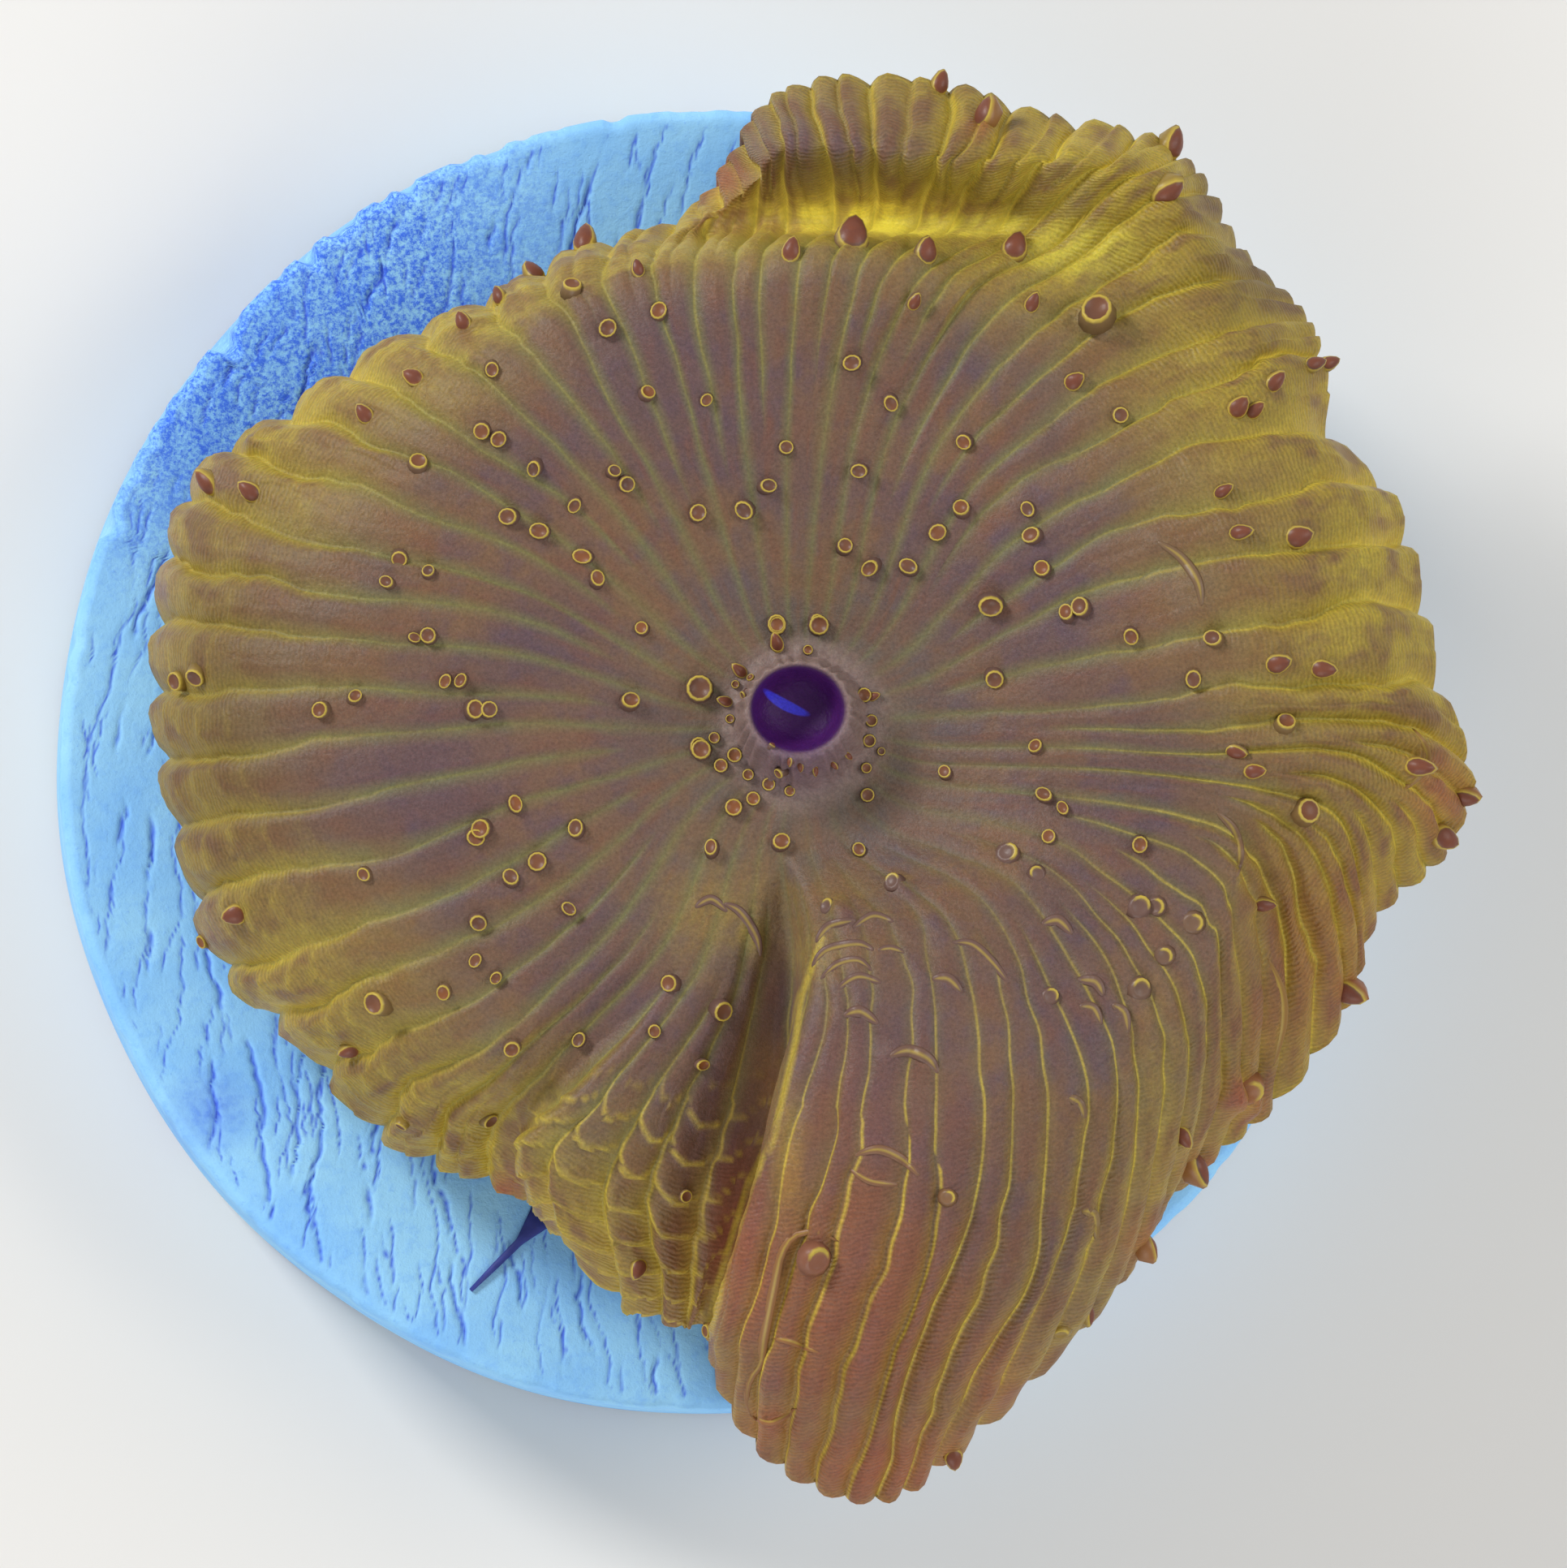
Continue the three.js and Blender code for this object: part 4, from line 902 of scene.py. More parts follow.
for tone_name, spots in TONE_AREAS.items():
    total = np.zeros(len(skin_places))
    for x, y, across, upward, strength in spots:
        gap = ((skin_places[:, 0] - x) / across) ** 2 + ((skin_places[:, 1] - y) / upward) ** 2
        total = np.maximum(total, strength * np.exp(-gap))
    write_attribute(polyp, tone_name, total)
# a painted highlight runs along the tongue's left edge, stored as the nearness to this line
TONGUE_EDGE = [
    (2.45, -4.6), (1.95, -6.0), (1.8, -7.1), (1.25, -9.5), (0.75, -10.5), (0.1, -12.7), (-0.2, -14.2),
]
RIM_REACH = 0.16
write_attribute(polyp, "tongue_edge_highlight", np.clip(1 - near_path(skin_places, TONGUE_EDGE) / RIM_REACH, 0, 1))
print("tones:", ", ".join(TONE_AREAS))

# %% [markdown]
# Tissue
#
# In the light that the coral was photographed in, its flesh is mauve brown where it lies flat and
# olive yellow towards the margin. Where it turns away and sees open sky it gets a brighter yellow,
# partly the flesh's own colour and partly a painted rim sheen. Each rib's lit edge is a painted
# highlight, a thin bright line, its shaded side is painted shade in rust brown, and the mouth is deep
# purple with a painted blue highlight along its closed lips. So the colour follows the shape: the
# mesh stores how steep each point is and where it lies on its rib, and noise mixes the tones.
# The flesh is wet and slightly clear, so it has a soft sheen and a little light passes under it. A
# painted glow, emission where little sky is seen and stronger in the yellow places, lightens the
# folds as light through the flesh would.

# %% Spots and leaves on a surface
def mark(place, centre, reach):
    """1 at a place in millimetres and 0 at its reach away, seen from above."""
    split = add_node("ShaderNodeSeparateXYZ", {"Vector": place})
    dx = maths("SUBTRACT", split.outputs["X"], centre[0] * MM)
    dy = maths("SUBTRACT", split.outputs["Y"], centre[1] * MM)
    gap = maths("SQRT", plus(times(dx, dx), times(dy, dy)))
    return ramp(gap, 0.0, reach * MM, 1.0, 0.0)


def leaf(place, centre, turn, length, width, bend):
    """1 in the middle of a bent leaf shape seen from above, 0 at its outline."""
    settings = {
        "Vector": place, "Location": (centre[0] * MM, centre[1] * MM, 0),
        "Rotation": (0, 0, math.radians(turn)), "Scale": (length / 2 * MM, width / 2 * MM, 1),
    }
    moved = add_node("ShaderNodeMapping", settings, vector_type="TEXTURE").outputs[0]
    split = add_node("ShaderNodeSeparateXYZ", {"Vector": moved})
    along = times(split.outputs["X"], split.outputs["X"])
    across = plus(split.outputs["Y"], times(along, bend))
    return ramp(plus(along, times(across, across)), 0.0, 1.0, 1.0, 0.0)


print("two shapes to paint with: mark and leaf")

# %% [markdown]
# Wet flesh of a soft coral. Four sizes of noise mottle it, from blotches 3 mm wide down to a grain of
# less than a tenth. Streaks follow the ribs, because that noise is read by rib number and by the way
# run along the rib, and the same way gives fine rings that cross the ribs near the margin.

# %% What the tissue's tones are mixed by
# millimetres from ring to ring, and the radians by which noise shifts them
RING_SPACING, RING_WOBBLE = 0.14, 26.0
# how fast the streaks' noise runs along a rib for one rib across, and its scale
STREAK_RUN, STREAK_SCALE = 0.7, 0.9

tissue, shader = new_material("soft_coral_tissue")
place = object_place()
slow = noise_at(place, 3.0, 3.0)
patchy = noise_at(place, 1.1, 3.0, 0.6)
fine = noise_at(place, 0.3, 4.0, 0.65)
grain = noise_at(place, 0.08, 3.0, 0.75)
far, edge, sky, steep, run, olive, mauve, yellow, painted_shade_area, cone, under = (share_of(name) for name in (
    "station", "edge", "open_sky", "steep", "run", "olive", "mauve", "yellow", "painted_shade_area", "cone", "under"))
band = ramp(share_of("band"), 0.2, 0.95)
near_margin = ramp(far, 2.8, 4.6)
along_ribs = add_node("ShaderNodeCombineXYZ", {"X": share_of("rib"), "Y": times(run, STREAK_RUN)})
streak_knobs = {"Vector": along_ribs.outputs[0], "Scale": STREAK_SCALE, "Detail": 2.0}
streaks = add_node("ShaderNodeTexNoise", streak_knobs).outputs["Fac"]
rings = maths("SINE", plus(times(run, 2 * math.pi / RING_SPACING), times(patchy, RING_WOBBLE)))
print("the tissue reads", sum(node.type == "ATTRIBUTE" for node in tree.nodes), "stored numbers")

# %% [markdown]
# Each tone needs a share. The painted rim sheen keeps to flesh that turns away and sees the sky, and
# to the yellow places. The groove lines, the painted highlights on the lit edges and the painted shade
# on the shaded sides come from the relief, and all of them fade towards the mouth, where the ribs are
# low. Noise breaks the shares up, so no line runs evenly.

# %% Shares of the tones
plateau = layered(blend(ramp(slow, 0.38, 0.62), "#6A514B", "#7A5C44"), [
    (ramp(patchy, 0.45, 0.72, 0.0, 0.55), "#57475C"),
    (ramp(streaks, 0.5, 0.75, 0.0, 0.55), "#7A4E3A"),
    (times(ramp(far, 0.2, 1.6, 0.55, 0.0), ramp(patchy, 0.3, 0.6)), "#6A6B55"),
])
margin_share = times(ramp(far, 2.6, 5.0, 0.0, 0.9), rest_of(mauve), olive)
turned = plus(steep, times(maths("SUBTRACT", fine, 0.5), 0.35))
# painted rim sheen: brighter yellow where the skin is steep, fading where little sky is seen, and the flesh's
# own yellow in the yellow places
painted_rim_glow = times(
    ramp(turned, 0.12, 0.8), ramp(sky, 0.3, 0.8, 0.3, 1.0), ramp(far, 1.5, 3.5, 0.45, 0.9),
    ramp(mauve, 0.0, 1.0, 1.0, 0.2), ramp(olive, 0.0, 1.0, 0.55, 1.0))
painted_rim_glow = maths("MAXIMUM", painted_rim_glow, times(yellow, ramp(fine, 0.3, 0.7, 0.6, 1.0)))
painted_rim_glow = times(painted_rim_glow, ramp(painted_shade_area, 0.0, 1.0, 1.0, 0.25))
blotches = times(ramp(streaks, 0.46, 0.62, 0.0, 0.75), rest_of(band), near_margin)
# painted shade: rust brown on the shaded side of each rib
painted_shade_side = times(ramp(share_of("painted_shade_side"), 0.0, 0.5), ramp(far, 2.0, 4.0, 0.0, 0.75))
warm = times(share_of("warm"), ramp(fine, 0.3, 0.7, 0.75, 1.0))
groove_line = times(
    band, ramp(far, 0.1, 2.2, 0.3, 0.7), ramp(patchy, 0.3, 0.6, 0.6, 1.0), ramp(olive, 0.0, 0.8, 0.35, 1.0))
# painted highlight: a thin bright line on each rib's lit edge
painted_highlight_line = times(
    ramp(edge, 0.4, 1.0), ramp(far, 1.8, 3.4, 0.0, 0.9), share_of("lines"), ramp(patchy, 0.35, 0.6, 0.6, 1.0))
# painted highlight along the tongue's left edge
painted_edge_highlight = times(ramp(share_of("tongue_edge_highlight"), 0.3, 0.8), 0.65)
front = times(mark(place, (1.9, 0.2), 1.5), ramp(fine, 0.35, 0.65, 0.4, 1.0), cone, 0.8)
# painted highlight: a blue line along the closed lips in the mouth's pit
slit_highlight = times(leaf(place, (1.6, 1.14), -28, 1.4, 0.3, -0.5), ramp(cone, 0.0, 0.3))
print("shares worked out with", len(tree.nodes), "nodes")

# %% [markdown]
# The tones lie over each other like thin coats of paint, from the plateau's mauve brown up to the
# painted highlight lines, the places of painted shade, and the mouth and the underside, which cover
# everything. Grain and fine rings then darken and lighten the result, and the same noises raise it by
# a few hundredths of a millimetre.

# %% Tissue finish
tone = layered(plateau, [
    (margin_share, blend(ramp(patchy, 0.35, 0.65), "#86662C", "#A1872F")),
    (times(mauve, 0.5), "#5E4858"),
    (painted_rim_glow, blend(fine, "#A8912F", "#CDB83A")),
    (ramp(yellow, 0.7, 1.0, 0.0, 0.85), "#DED04A"),
    (blotches, "#76533F"),
    (painted_shade_side, "#61391F"),
    (warm, blend(patchy, "#8A463A", "#A3623A")),
    (share_of("pale"), "#AE979A"),
    (groove_line, blend(near_margin, "#777A45", "#BDA83A")),
    # painted highlight on the terrace crests
    (times(share_of("terrace_highlight"), 0.85), "#C8B245"),
    (painted_highlight_line, blend(fine, "#C9AE40", "#E6CC4C")),
    (painted_edge_highlight, "#C8B042"),
    # painted shade over the shaded places
    (times(painted_shade_area, 0.45), "#3F3020"),
    (cone, blend(fine, "#6E5859", "#9A8479")),
    (front, "#54336A"),
    (share_of("pit"), "#481A5E"),
    (ramp(slit_highlight, 0.05, 0.45), "#4A44E8"),
    (under, blend(slow, "#8A7550", "#9C8A62")),
])
speckle = plus(ramp(grain, 0.3, 0.7, 0.7, 1.14), times(rings, near_margin, 0.1))
speckled = add_node("ShaderNodeVectorMath", {0: tone, 1: speckle}, operation="MULTIPLY").outputs[0]
# painted glow: emission where the skin sees little sky, stronger in the yellow places
painted_glow = times(ramp(sky, 0.1, 0.85, 0.22, 0.0), plus(1.0, times(yellow, 2.6)), rest_of(under))
ring_height = times(rings, times(near_margin, ramp(fine, 0.3, 0.6, 0.08, 0.3)))
height = plus(times(fine, 1.1), times(grain, 0.6), times(patchy, 1.8), ring_height)
set_inputs(shader, {
    "Base Color": speckled, "Emission Color": tone, "Emission Strength": painted_glow, "Roughness": 0.45,
    "Subsurface Weight": 0.12, "Subsurface Scale": 0.3 * MM, "Specular IOR Level": 0.3,
    "Normal": bumped(height, 0.5, 0.07),
})
# the painted glow only has to brighten the skin itself, so it isn't sampled as a lamp, which saves time
tissue.cycles.emission_sampling = "NONE"
polyp.data.materials.append(tissue)
print("tissue finish:", len(tree.nodes), "nodes")

# %% [markdown]
# Tubercles
#
# The disc carries 190 small tubercles, in three forms. On the plateau they are short
# cups with a thin pale rim, on the tongue and beside it low domes with a painted highlight arc on one
# side, and along the ridge and the margin small brown tabs that point outward. Each form is modelled
# once, by extruding a circle up through its profile, then copied to each place, scaled, turned to the
# skin there and joined to the rest.

# %% The three tubercles
FORM_SIDES = 12
# radius, height and colour: 0 skin, 1 pale rim, 2 brown cup, 3 dark brown tab
CUP_PROFILE = [
    (1.3, -0.5, 0.0), (1.02, 0.35, 0.3), (0.99, 0.62, 0.9), (0.87, 0.7, 1.0), (0.74, 0.58, 1.8),
    (0.0, 0.45, 2.0),
]
HOOD_PROFILE = [
    (1.6, -0.4, 0.0), (1.15, 0.35, 0.1), (0.98, 0.75, 0.9), (0.8, 0.8, 1.0), (0.62, 0.62, 0.4),
    (0.0, 0.55, 0.35),
]
TAB_PROFILE = [
    (0.4, -0.95, 0.0), (0.95, -0.6, 0.0), (1.12, 0.0, 0.2), (0.98, 0.36, 0.7), (0.7, 0.62, 2.9),
    (0.36, 0.78, 3.0), (0.0, 0.84, 3.0),
]


def close_open_ends():
    """In edit mode, puts a face on each open end and turns every face outward."""
    bpy.ops.mesh.select_all(action="DESELECT")
    bpy.ops.mesh.select_mode(type="EDGE")
    bpy.ops.mesh.select_non_manifold()
    bpy.ops.mesh.edge_face_add()
    bpy.ops.mesh.select_mode(type="VERT")
    bpy.ops.mesh.select_all(action="SELECT")
    bpy.ops.mesh.normals_make_consistent(inside=False)


def turned_form(profile, name, tip=0.0, lift=0.0, hood=0.0):
    """A form extruded ring by ring from a circle, then drawn out and raised towards its own +X side."""
    pick()
    radius, height, _ = profile[0]
    bpy.ops.mesh.primitive_circle_add(vertices=FORM_SIDES, radius=radius, location=(0, 0, height))
    form = bpy.context.active_object
    form.name = name
    bpy.ops.object.mode_set(mode="EDIT")
    bpy.ops.mesh.select_all(action="SELECT")
    for next_radius, next_height, _ in profile[1:]:
        rise = next_height - height
        bpy.ops.mesh.extrude_edges_move(TRANSFORM_OT_translate={"value": (0, 0, rise)})
        shrink = next_radius / radius
        if shrink:
            bpy.ops.transform.resize(value=(shrink, shrink, 1))
        radius, height = next_radius, next_height
    bpy.ops.mesh.merge(type="CENTER")
    close_open_ends()
    bpy.ops.object.mode_set(mode="OBJECT")
    bpy.ops.object.transform_apply(location=True)
    caps = []
    for vertex in form.data.vertices:
        across = math.hypot(vertex.co.x, vertex.co.y)
        toward = vertex.co.x / max(across, 0.01)
        ring = min(profile, key=lambda ring: abs(ring[0] - across) + abs(ring[1] - vertex.co.z))
        # on a hood the rim's pale colour keeps to its +X side only, a painted highlight arc
        caps.append(ring[2] * (1 - hood * (1 - min(max(0.4 + 0.9 * toward, 0), 1))))
        vertex.co.x *= 1 + tip * max(toward, 0) ** 2
        if vertex.co.z > 0:
            vertex.co.z *= 1 - hood * 0.4 * (1 - toward)
            vertex.co.z += lift * vertex.co.x
    write_attribute(form, "cap", caps)
    print(name, len(form.data.polygons), "faces")
    return form


cup_form = turned_form(CUP_PROFILE, "cup_tubercle")
hood_form = turned_form(HOOD_PROFILE, "hooded_tubercle", hood=1.0)
tab_form = turned_form(TAB_PROFILE, "tab_tubercle", tip=0.55, lift=0.35)

# %% [markdown]
# Their places were read off the photograph one by one, as were the knobs that ring the mouth and the
# blunt points along the ridge, the margin and the flaps. A place and a radius say all that differs
# from one to the next; the rest is left to seeded dice.

# %% Where they stand
# x, y and radius in millimetres
TUBERCLES = [
    (-13.1, 1.8, 0.26), (-12.7, 1.9, 0.26), (-5.55, 9.3, 0.2), (-5.8, 7.8, 0.22), (-5.4, 7.6, 0.22),
    (-4.5, 6.9, 0.22), (-2.6, 6.8, 0.18), (-2.3, 6.5, 0.21), (-3.55, 6, 0.21), (-5.15, 5.7, 0.24),
    (-4.4, 5.35, 0.26), (-3.35, 4.75, 0.26), (-3, 4.2, 0.22), (-7.8, 4.7, 0.21), (-8.1, 4.1, 0.19),
    (-7.1, 4.35, 0.17), (-7.45, 2.75, 0.17), (-7.1, 2.8, 0.21), (-6.7, 1.7, 0.2), (-6.3, 1.7, 0.2),
    (-6, 1, 0.25), (-5.65, 1, 0.22), (-9.7, 1, 0.22), (-8.9, 1.3, 0.19), (-1.9, 3, 0.17),
    (-1.8, 8.7, 0.2), (-0.35, 8.55, 0.18), (1.15, 6.45, 0.22), (0.6, 5.9, 0.26), (-0.55, 5.8, 0.23),
    (1.6, 7.4, 0.19), (-2.75, 10.3, 0.25), (-1.5, 10.7, 0.24), (-3.6, 11.25, 0.25), (-7.35, 7, 0.24),
    (-2.2, 1.2, 0.24), (-0.45, 1.55, 0.2), (-0.5, 0.1, 0.26), (1.4, 3.1, 0.26), (1.4, 2.6, 0.18),
    (3.2, 9.45, 0.24), (4.15, 8.5, 0.23), (5.95, 7.55, 0.21), (3.4, 6.85, 0.22), (7.5, 5.9, 0.21),
    (7.6, 5.25, 0.25), (5.9, 5.9, 0.22), (5.3, 5.35, 0.24), (3.05, 5, 0.2), (3.7, 4.5, 0.25),
    (4.6, 4.5, 0.25), (7.85, 4.45, 0.21), (6.6, 3.6, 0.32), (8.45, 3.35, 0.22), (8.8, 3.5, 0.25),
    (6.7, 1.8, 0.24), (9.75, 8.2, 0.21), (9.2, 10.7, 0.42), (10, 2.8, 0.22), (12, 2.7, 0.25),
    (11.5, 1.75, 0.24), (13.75, 0.65, 0.25), (7.7, 0.1, 0.19), (2.4, 3.15, 0.24), (5.5, -0.5, 0.18),
    (7.9, -1.1, 0.23), (8.35, -1.4, 0.19), (8, -2.1, 0.19), (7, -2.5, 0.25), (7.7, -3, 0.18),
    (10.2, -2.3, 0.22), (14.3, -1.45, 0.32), (10.2, -3.8, 0.25), (10.6, -3.8, 0.21), (11.5, -4.2, 0.23),
    (4.2, -3.2, 0.2), (3.4, -2.4, 0.19), (1.5, -2.2, 0.23), (2.6, -3.8, 0.18), (10.2, -5.8, 0.24),
    (8, -6, 0.19), (5.5, -10.9, 0.17), (2.3, -12.4, 0.32), (8.4, -14.1, 0.2), (13, -8.2, 0.32),
    (10.8, -5, 0.21), (-5, -1.3, 0.24), (-5.95, -2.1, 0.24), (-5.8, -1.9, 0.25), (-3.5, -1.9, 0.24),
    (-4.45, -2.7, 0.25), (-5.1, -3.1, 0.23), (-3.7, -3.85, 0.21), (-8.65, -3, 0.19), (-5.9, -4.15, 0.23),
    (-5.95, -5.1, 0.2), (-5.45, -5.5, 0.18), (-6.7, -5.85, 0.21), (-8.3, -6.1, 0.32), (-5.05, -7.2, 0.22),
    (-3.4, -7, 0.21), (-1.2, -5.65, 0.22), (-1.6, -6.8, 0.18), (0.05, -6.3, 0.26), (-0.45, -7.6, 0.19),
    (-5.55, -8.9, 0.22), (-0.8, -10.8, 0.17), (-0.2, -2.35, 0.22), (-8.1, -9.5, 0.17),
    (-0.6, -14.1, 0.18), (-12.5, -4.5, 0.18),
]
# the small knobs in a ring round the mouth, and the pointed ones among them
MOUTH_KNOBS = [
    (1.41, 3.1, 0.19), (2.42, 3.08, 0.24), (0.79, 1.77, 0.1), (0.39, 1.64, 0.1), (-0.49, 1.53, 0.32),
    (0.61, 1.38, 0.1), (0.26, 0.8, 0.11), (-0.12, 0.34, 0.14), (-0.44, 0.04, 0.24), (0.37, -0.08, 0.18),
    (0.04, -0.34, 0.17), (0.7, -0.56, 0.14), (0.35, -1.36, 0.21), (0.82, -1.14, 0.17), (1.2, -0.79, 0.16),
    (1.71, -0.96, 0.13), (3.52, 1.38, 0.18), (3.7, 0.76, 0.15), (3.65, 0.27, 0.16), (3.94, 0.01, 0.1),
    (3.58, -0.39, 0.13), (3.61, -1.05, 0.17), (2.16, 2.48, 0.12), (1.49, -0.5, 0.13),
]
MOUTH_POINTS = [
    (1.41, 2.6, 0.2), (0.52, 1.95, 0.18), (0.17, 1.22, 0.16), (3.72, 1.34, 0.13), (1.25, 0.1, 0.09),
    (1.95, -0.35, 0.1), (2.3, -0.45, 0.1), (2.75, -0.3, 0.1), (1.7, -0.25, 0.09), (3.1, -0.1, 0.09),
]
# the blunt points along the ridge, the margin and the flaps
POINTS = [
    (-12.35, 6.6, 0.42), (-11.35, 6.35, 0.36), (-5.3, 11.1, 0.3), (-4.4, 12.05, 0.36), (-3.2, 12.5, 0.48),
    (-2.0, 11.7, 0.26), (1.7, 12.1, 0.36), (3.2, 12.45, 0.55), (5.0, 12.1, 0.38), (7.2, 12.25, 0.42),
    (10.85, 13.65, 0.52), (11.1, 14.85, 0.45), (12.6, 8.35, 0.34), (13.0, 8.3, 0.3), (13.5, 9.0, 0.34),
    (14.5, 9.5, 0.34), (14.9, 9.55, 0.3), (7.6, 10.9, 0.3), (8.6, 9.0, 0.3), (12.2, 6.3, 0.3),
    (12.6, 5.3, 0.34), (14.0, 5.2, 0.38), (13.5, 2.1, 0.36), (14.6, 2.0, 0.36), (4.7, 10.9, 0.26),
    (-8.6, 8.2, 0.3), (-7.4, 9.1, 0.3), (-6.2, 10.45, 0.3), (-8.9, -7.2, 0.3), (-11.7, -3.9, 0.34),
    (12.1, -10.2, 0.5), (10.8, -12.1, 0.4), (9.4, -13.7, 0.3), (5.8, -17.1, 0.32), (15.4, -5.7, 0.5),
    (18.2, -1.0, 0.4), (17.7, -2.0, 0.4), (17.0, -0.35, 0.42), (13.2, -3.7, 0.34), (12.5, 0.0, 0.3),
    (12.95, -0.5, 0.3), (11.3, -9.3, 0.34), (-1.9, -12.5, 0.3), (6.5, 15.5, 0.45), (5.4, 16.3, 0.36),
]
print(len(TUBERCLES), "tubercles,", len(MOUTH_KNOBS) + len(MOUTH_POINTS), "knobs and", len(POINTS), "points")

# %% [markdown]
# A tubercle stands square to the skin below it, eased towards upright, and takes on its tone. The
# skin is found with a ray from above, and where the ray passes the flesh the nearest skin counts.

# %% Stand one on the skin
RAY_HEIGHT, USUAL_HEIGHT = 40, 9
OLIVE_FROM, OLIVE_SPAN = 2.6, 2.4
UPRIGHT_SHARE = 0.25

station_layer, warm_layer, mauve_layer = (
    polyp.data.attributes[name].data for name in ("station", "warm", "mauve"))


def skin_below(x, y):
    """The place, the normal and the colours of the skin seen at x and y from above."""
    hit, normal, face, _ = skin_tree.ray_cast(Vector((x, y, RAY_HEIGHT)) * MM, Vector((0, 0, -1)))
    if hit is None:
        hit, normal, face, _ = skin_tree.find_nearest(Vector((x, y, USUAL_HEIGHT)) * MM)
    corner = polyp.data.polygons[face].vertices[0]
    olive = min(max((station_layer[corner].value - OLIVE_FROM) / OLIVE_SPAN, 0), 1)
    return hit, normal, olive * (1 - mauve_layer[corner].value), warm_layer[corner].value


def colour_by_skin(piece, olive, warm):
    """Gives a small piece the tone of the skin that it stands on."""
    for name, value in (("olive", olive), ("warm", warm)):
        write_attribute(piece, name, np.full(len(piece.data.vertices), value))


def stand_on_skin(form, x, y, radius, height, bearing, slant=(0, 0), narrow=1.0):
    """A copy of a tubercle, standing on the skin at x and y with its +X side to a bearing."""
    hit, normal, olive, warm = skin_below(x, y)
    up = (normal * (1 - UPRIGHT_SHARE) + Vector((*slant, UPRIGHT_SHARE))).normalized()
    forward = Vector((math.cos(bearing), math.sin(bearing), 0))
    side = up.cross(forward).normalized()
    turned = Matrix((side.cross(up), side, up)).transposed().to_4x4()
    copy = bpy.data.objects.new("tubercle", form.data.copy())
    bpy.context.collection.objects.link(copy)
    size = Matrix.Diagonal((radius * MM, radius * narrow * MM, height * MM, 1))
    copy.data.transform(Matrix.Translation(hit) @ turned @ size)
    colour_by_skin(copy, olive, warm)
    return copy


print("skin at (6, 6) lies", round(skin_below(6, 6)[0].z / MM, 2), "mm up")

# %% [markdown]
# No two tubercles are alike, so seeded dice give each cup its height, lean, turn and roundness. On
# the tongue and beside it the form is the hood, whose painted highlight arc faces up the picture. The
# tabs point away from the mouth.

# %% Stand them all
HOODS_BELOW_Y, HOODS_RIGHT_OF_X = -2.4, 1.0
CUP_SIZE, TAB_SIZE, TAB_HEIGHT = 0.95, 0.7, 0.75

roll = random.Random(5)
FULL_TURN = 2 * math.pi
copies = []
for x, y, radius in TUBERCLES:
    radius *= CUP_SIZE
    slant = (roll.uniform(-0.3, 0.2), roll.uniform(-0.2, 0.3))
    if y < HOODS_BELOW_Y and x > HOODS_RIGHT_OF_X:
        copies.append(stand_on_skin(hood_form, x, y, radius, radius, math.radians(roll.uniform(10, 130))))
    else:
        tall = radius * roll.uniform(0.8, 1.5)
        turn, narrow = roll.uniform(0, FULL_TURN), roll.uniform(0.72, 1.0)
        copies.append(stand_on_skin(cup_form, x, y, radius, tall, turn, slant, narrow))
for x, y, radius in MOUTH_KNOBS:
    copies.append(stand_on_skin(cup_form, x, y, radius, radius * 1.5, roll.uniform(0, FULL_TURN)))
for x, y, radius in MOUTH_POINTS:
    outward = math.atan2(y - MOUTH_Y, x - MOUTH_X)
    copies.append(stand_on_skin(tab_form, x, y, radius, radius * 1.3, outward, narrow=0.8))
for x, y, radius in POINTS:
    outward = math.atan2(y - MOUTH_Y, x - MOUTH_X) + roll.uniform(-0.3, 0.3)
    narrow = roll.uniform(0.75, 1.1)
    tall = radius * TAB_HEIGHT
    copies.append(stand_on_skin(tab_form, x, y, radius * TAB_SIZE, tall, outward, narrow=narrow))
for form in (cup_form, hood_form, tab_form):
    bpy.data.objects.remove(form)
print(len(copies), "tubercles stand on the skin")

# %% [markdown]
# The folds that belong to one place are laid on the skin as ridges with pointed ends. Each could be
# part of the skin's grid, but its points lie too far apart for a crest a tenth of a millimetre wide.
# So a small grid is rolled into a tube round the fold's line, tapered to both ends, and sunk halfway
# into the skin.

# %% Lay the folds
RIDGE_STATIONS, RIDGE_SIDES = 22, 8
SINK = 0.12
CREST_WIDTH, CREST_RISE, CREST_HIGHLIGHT = 0.85, 0.26, 0.62


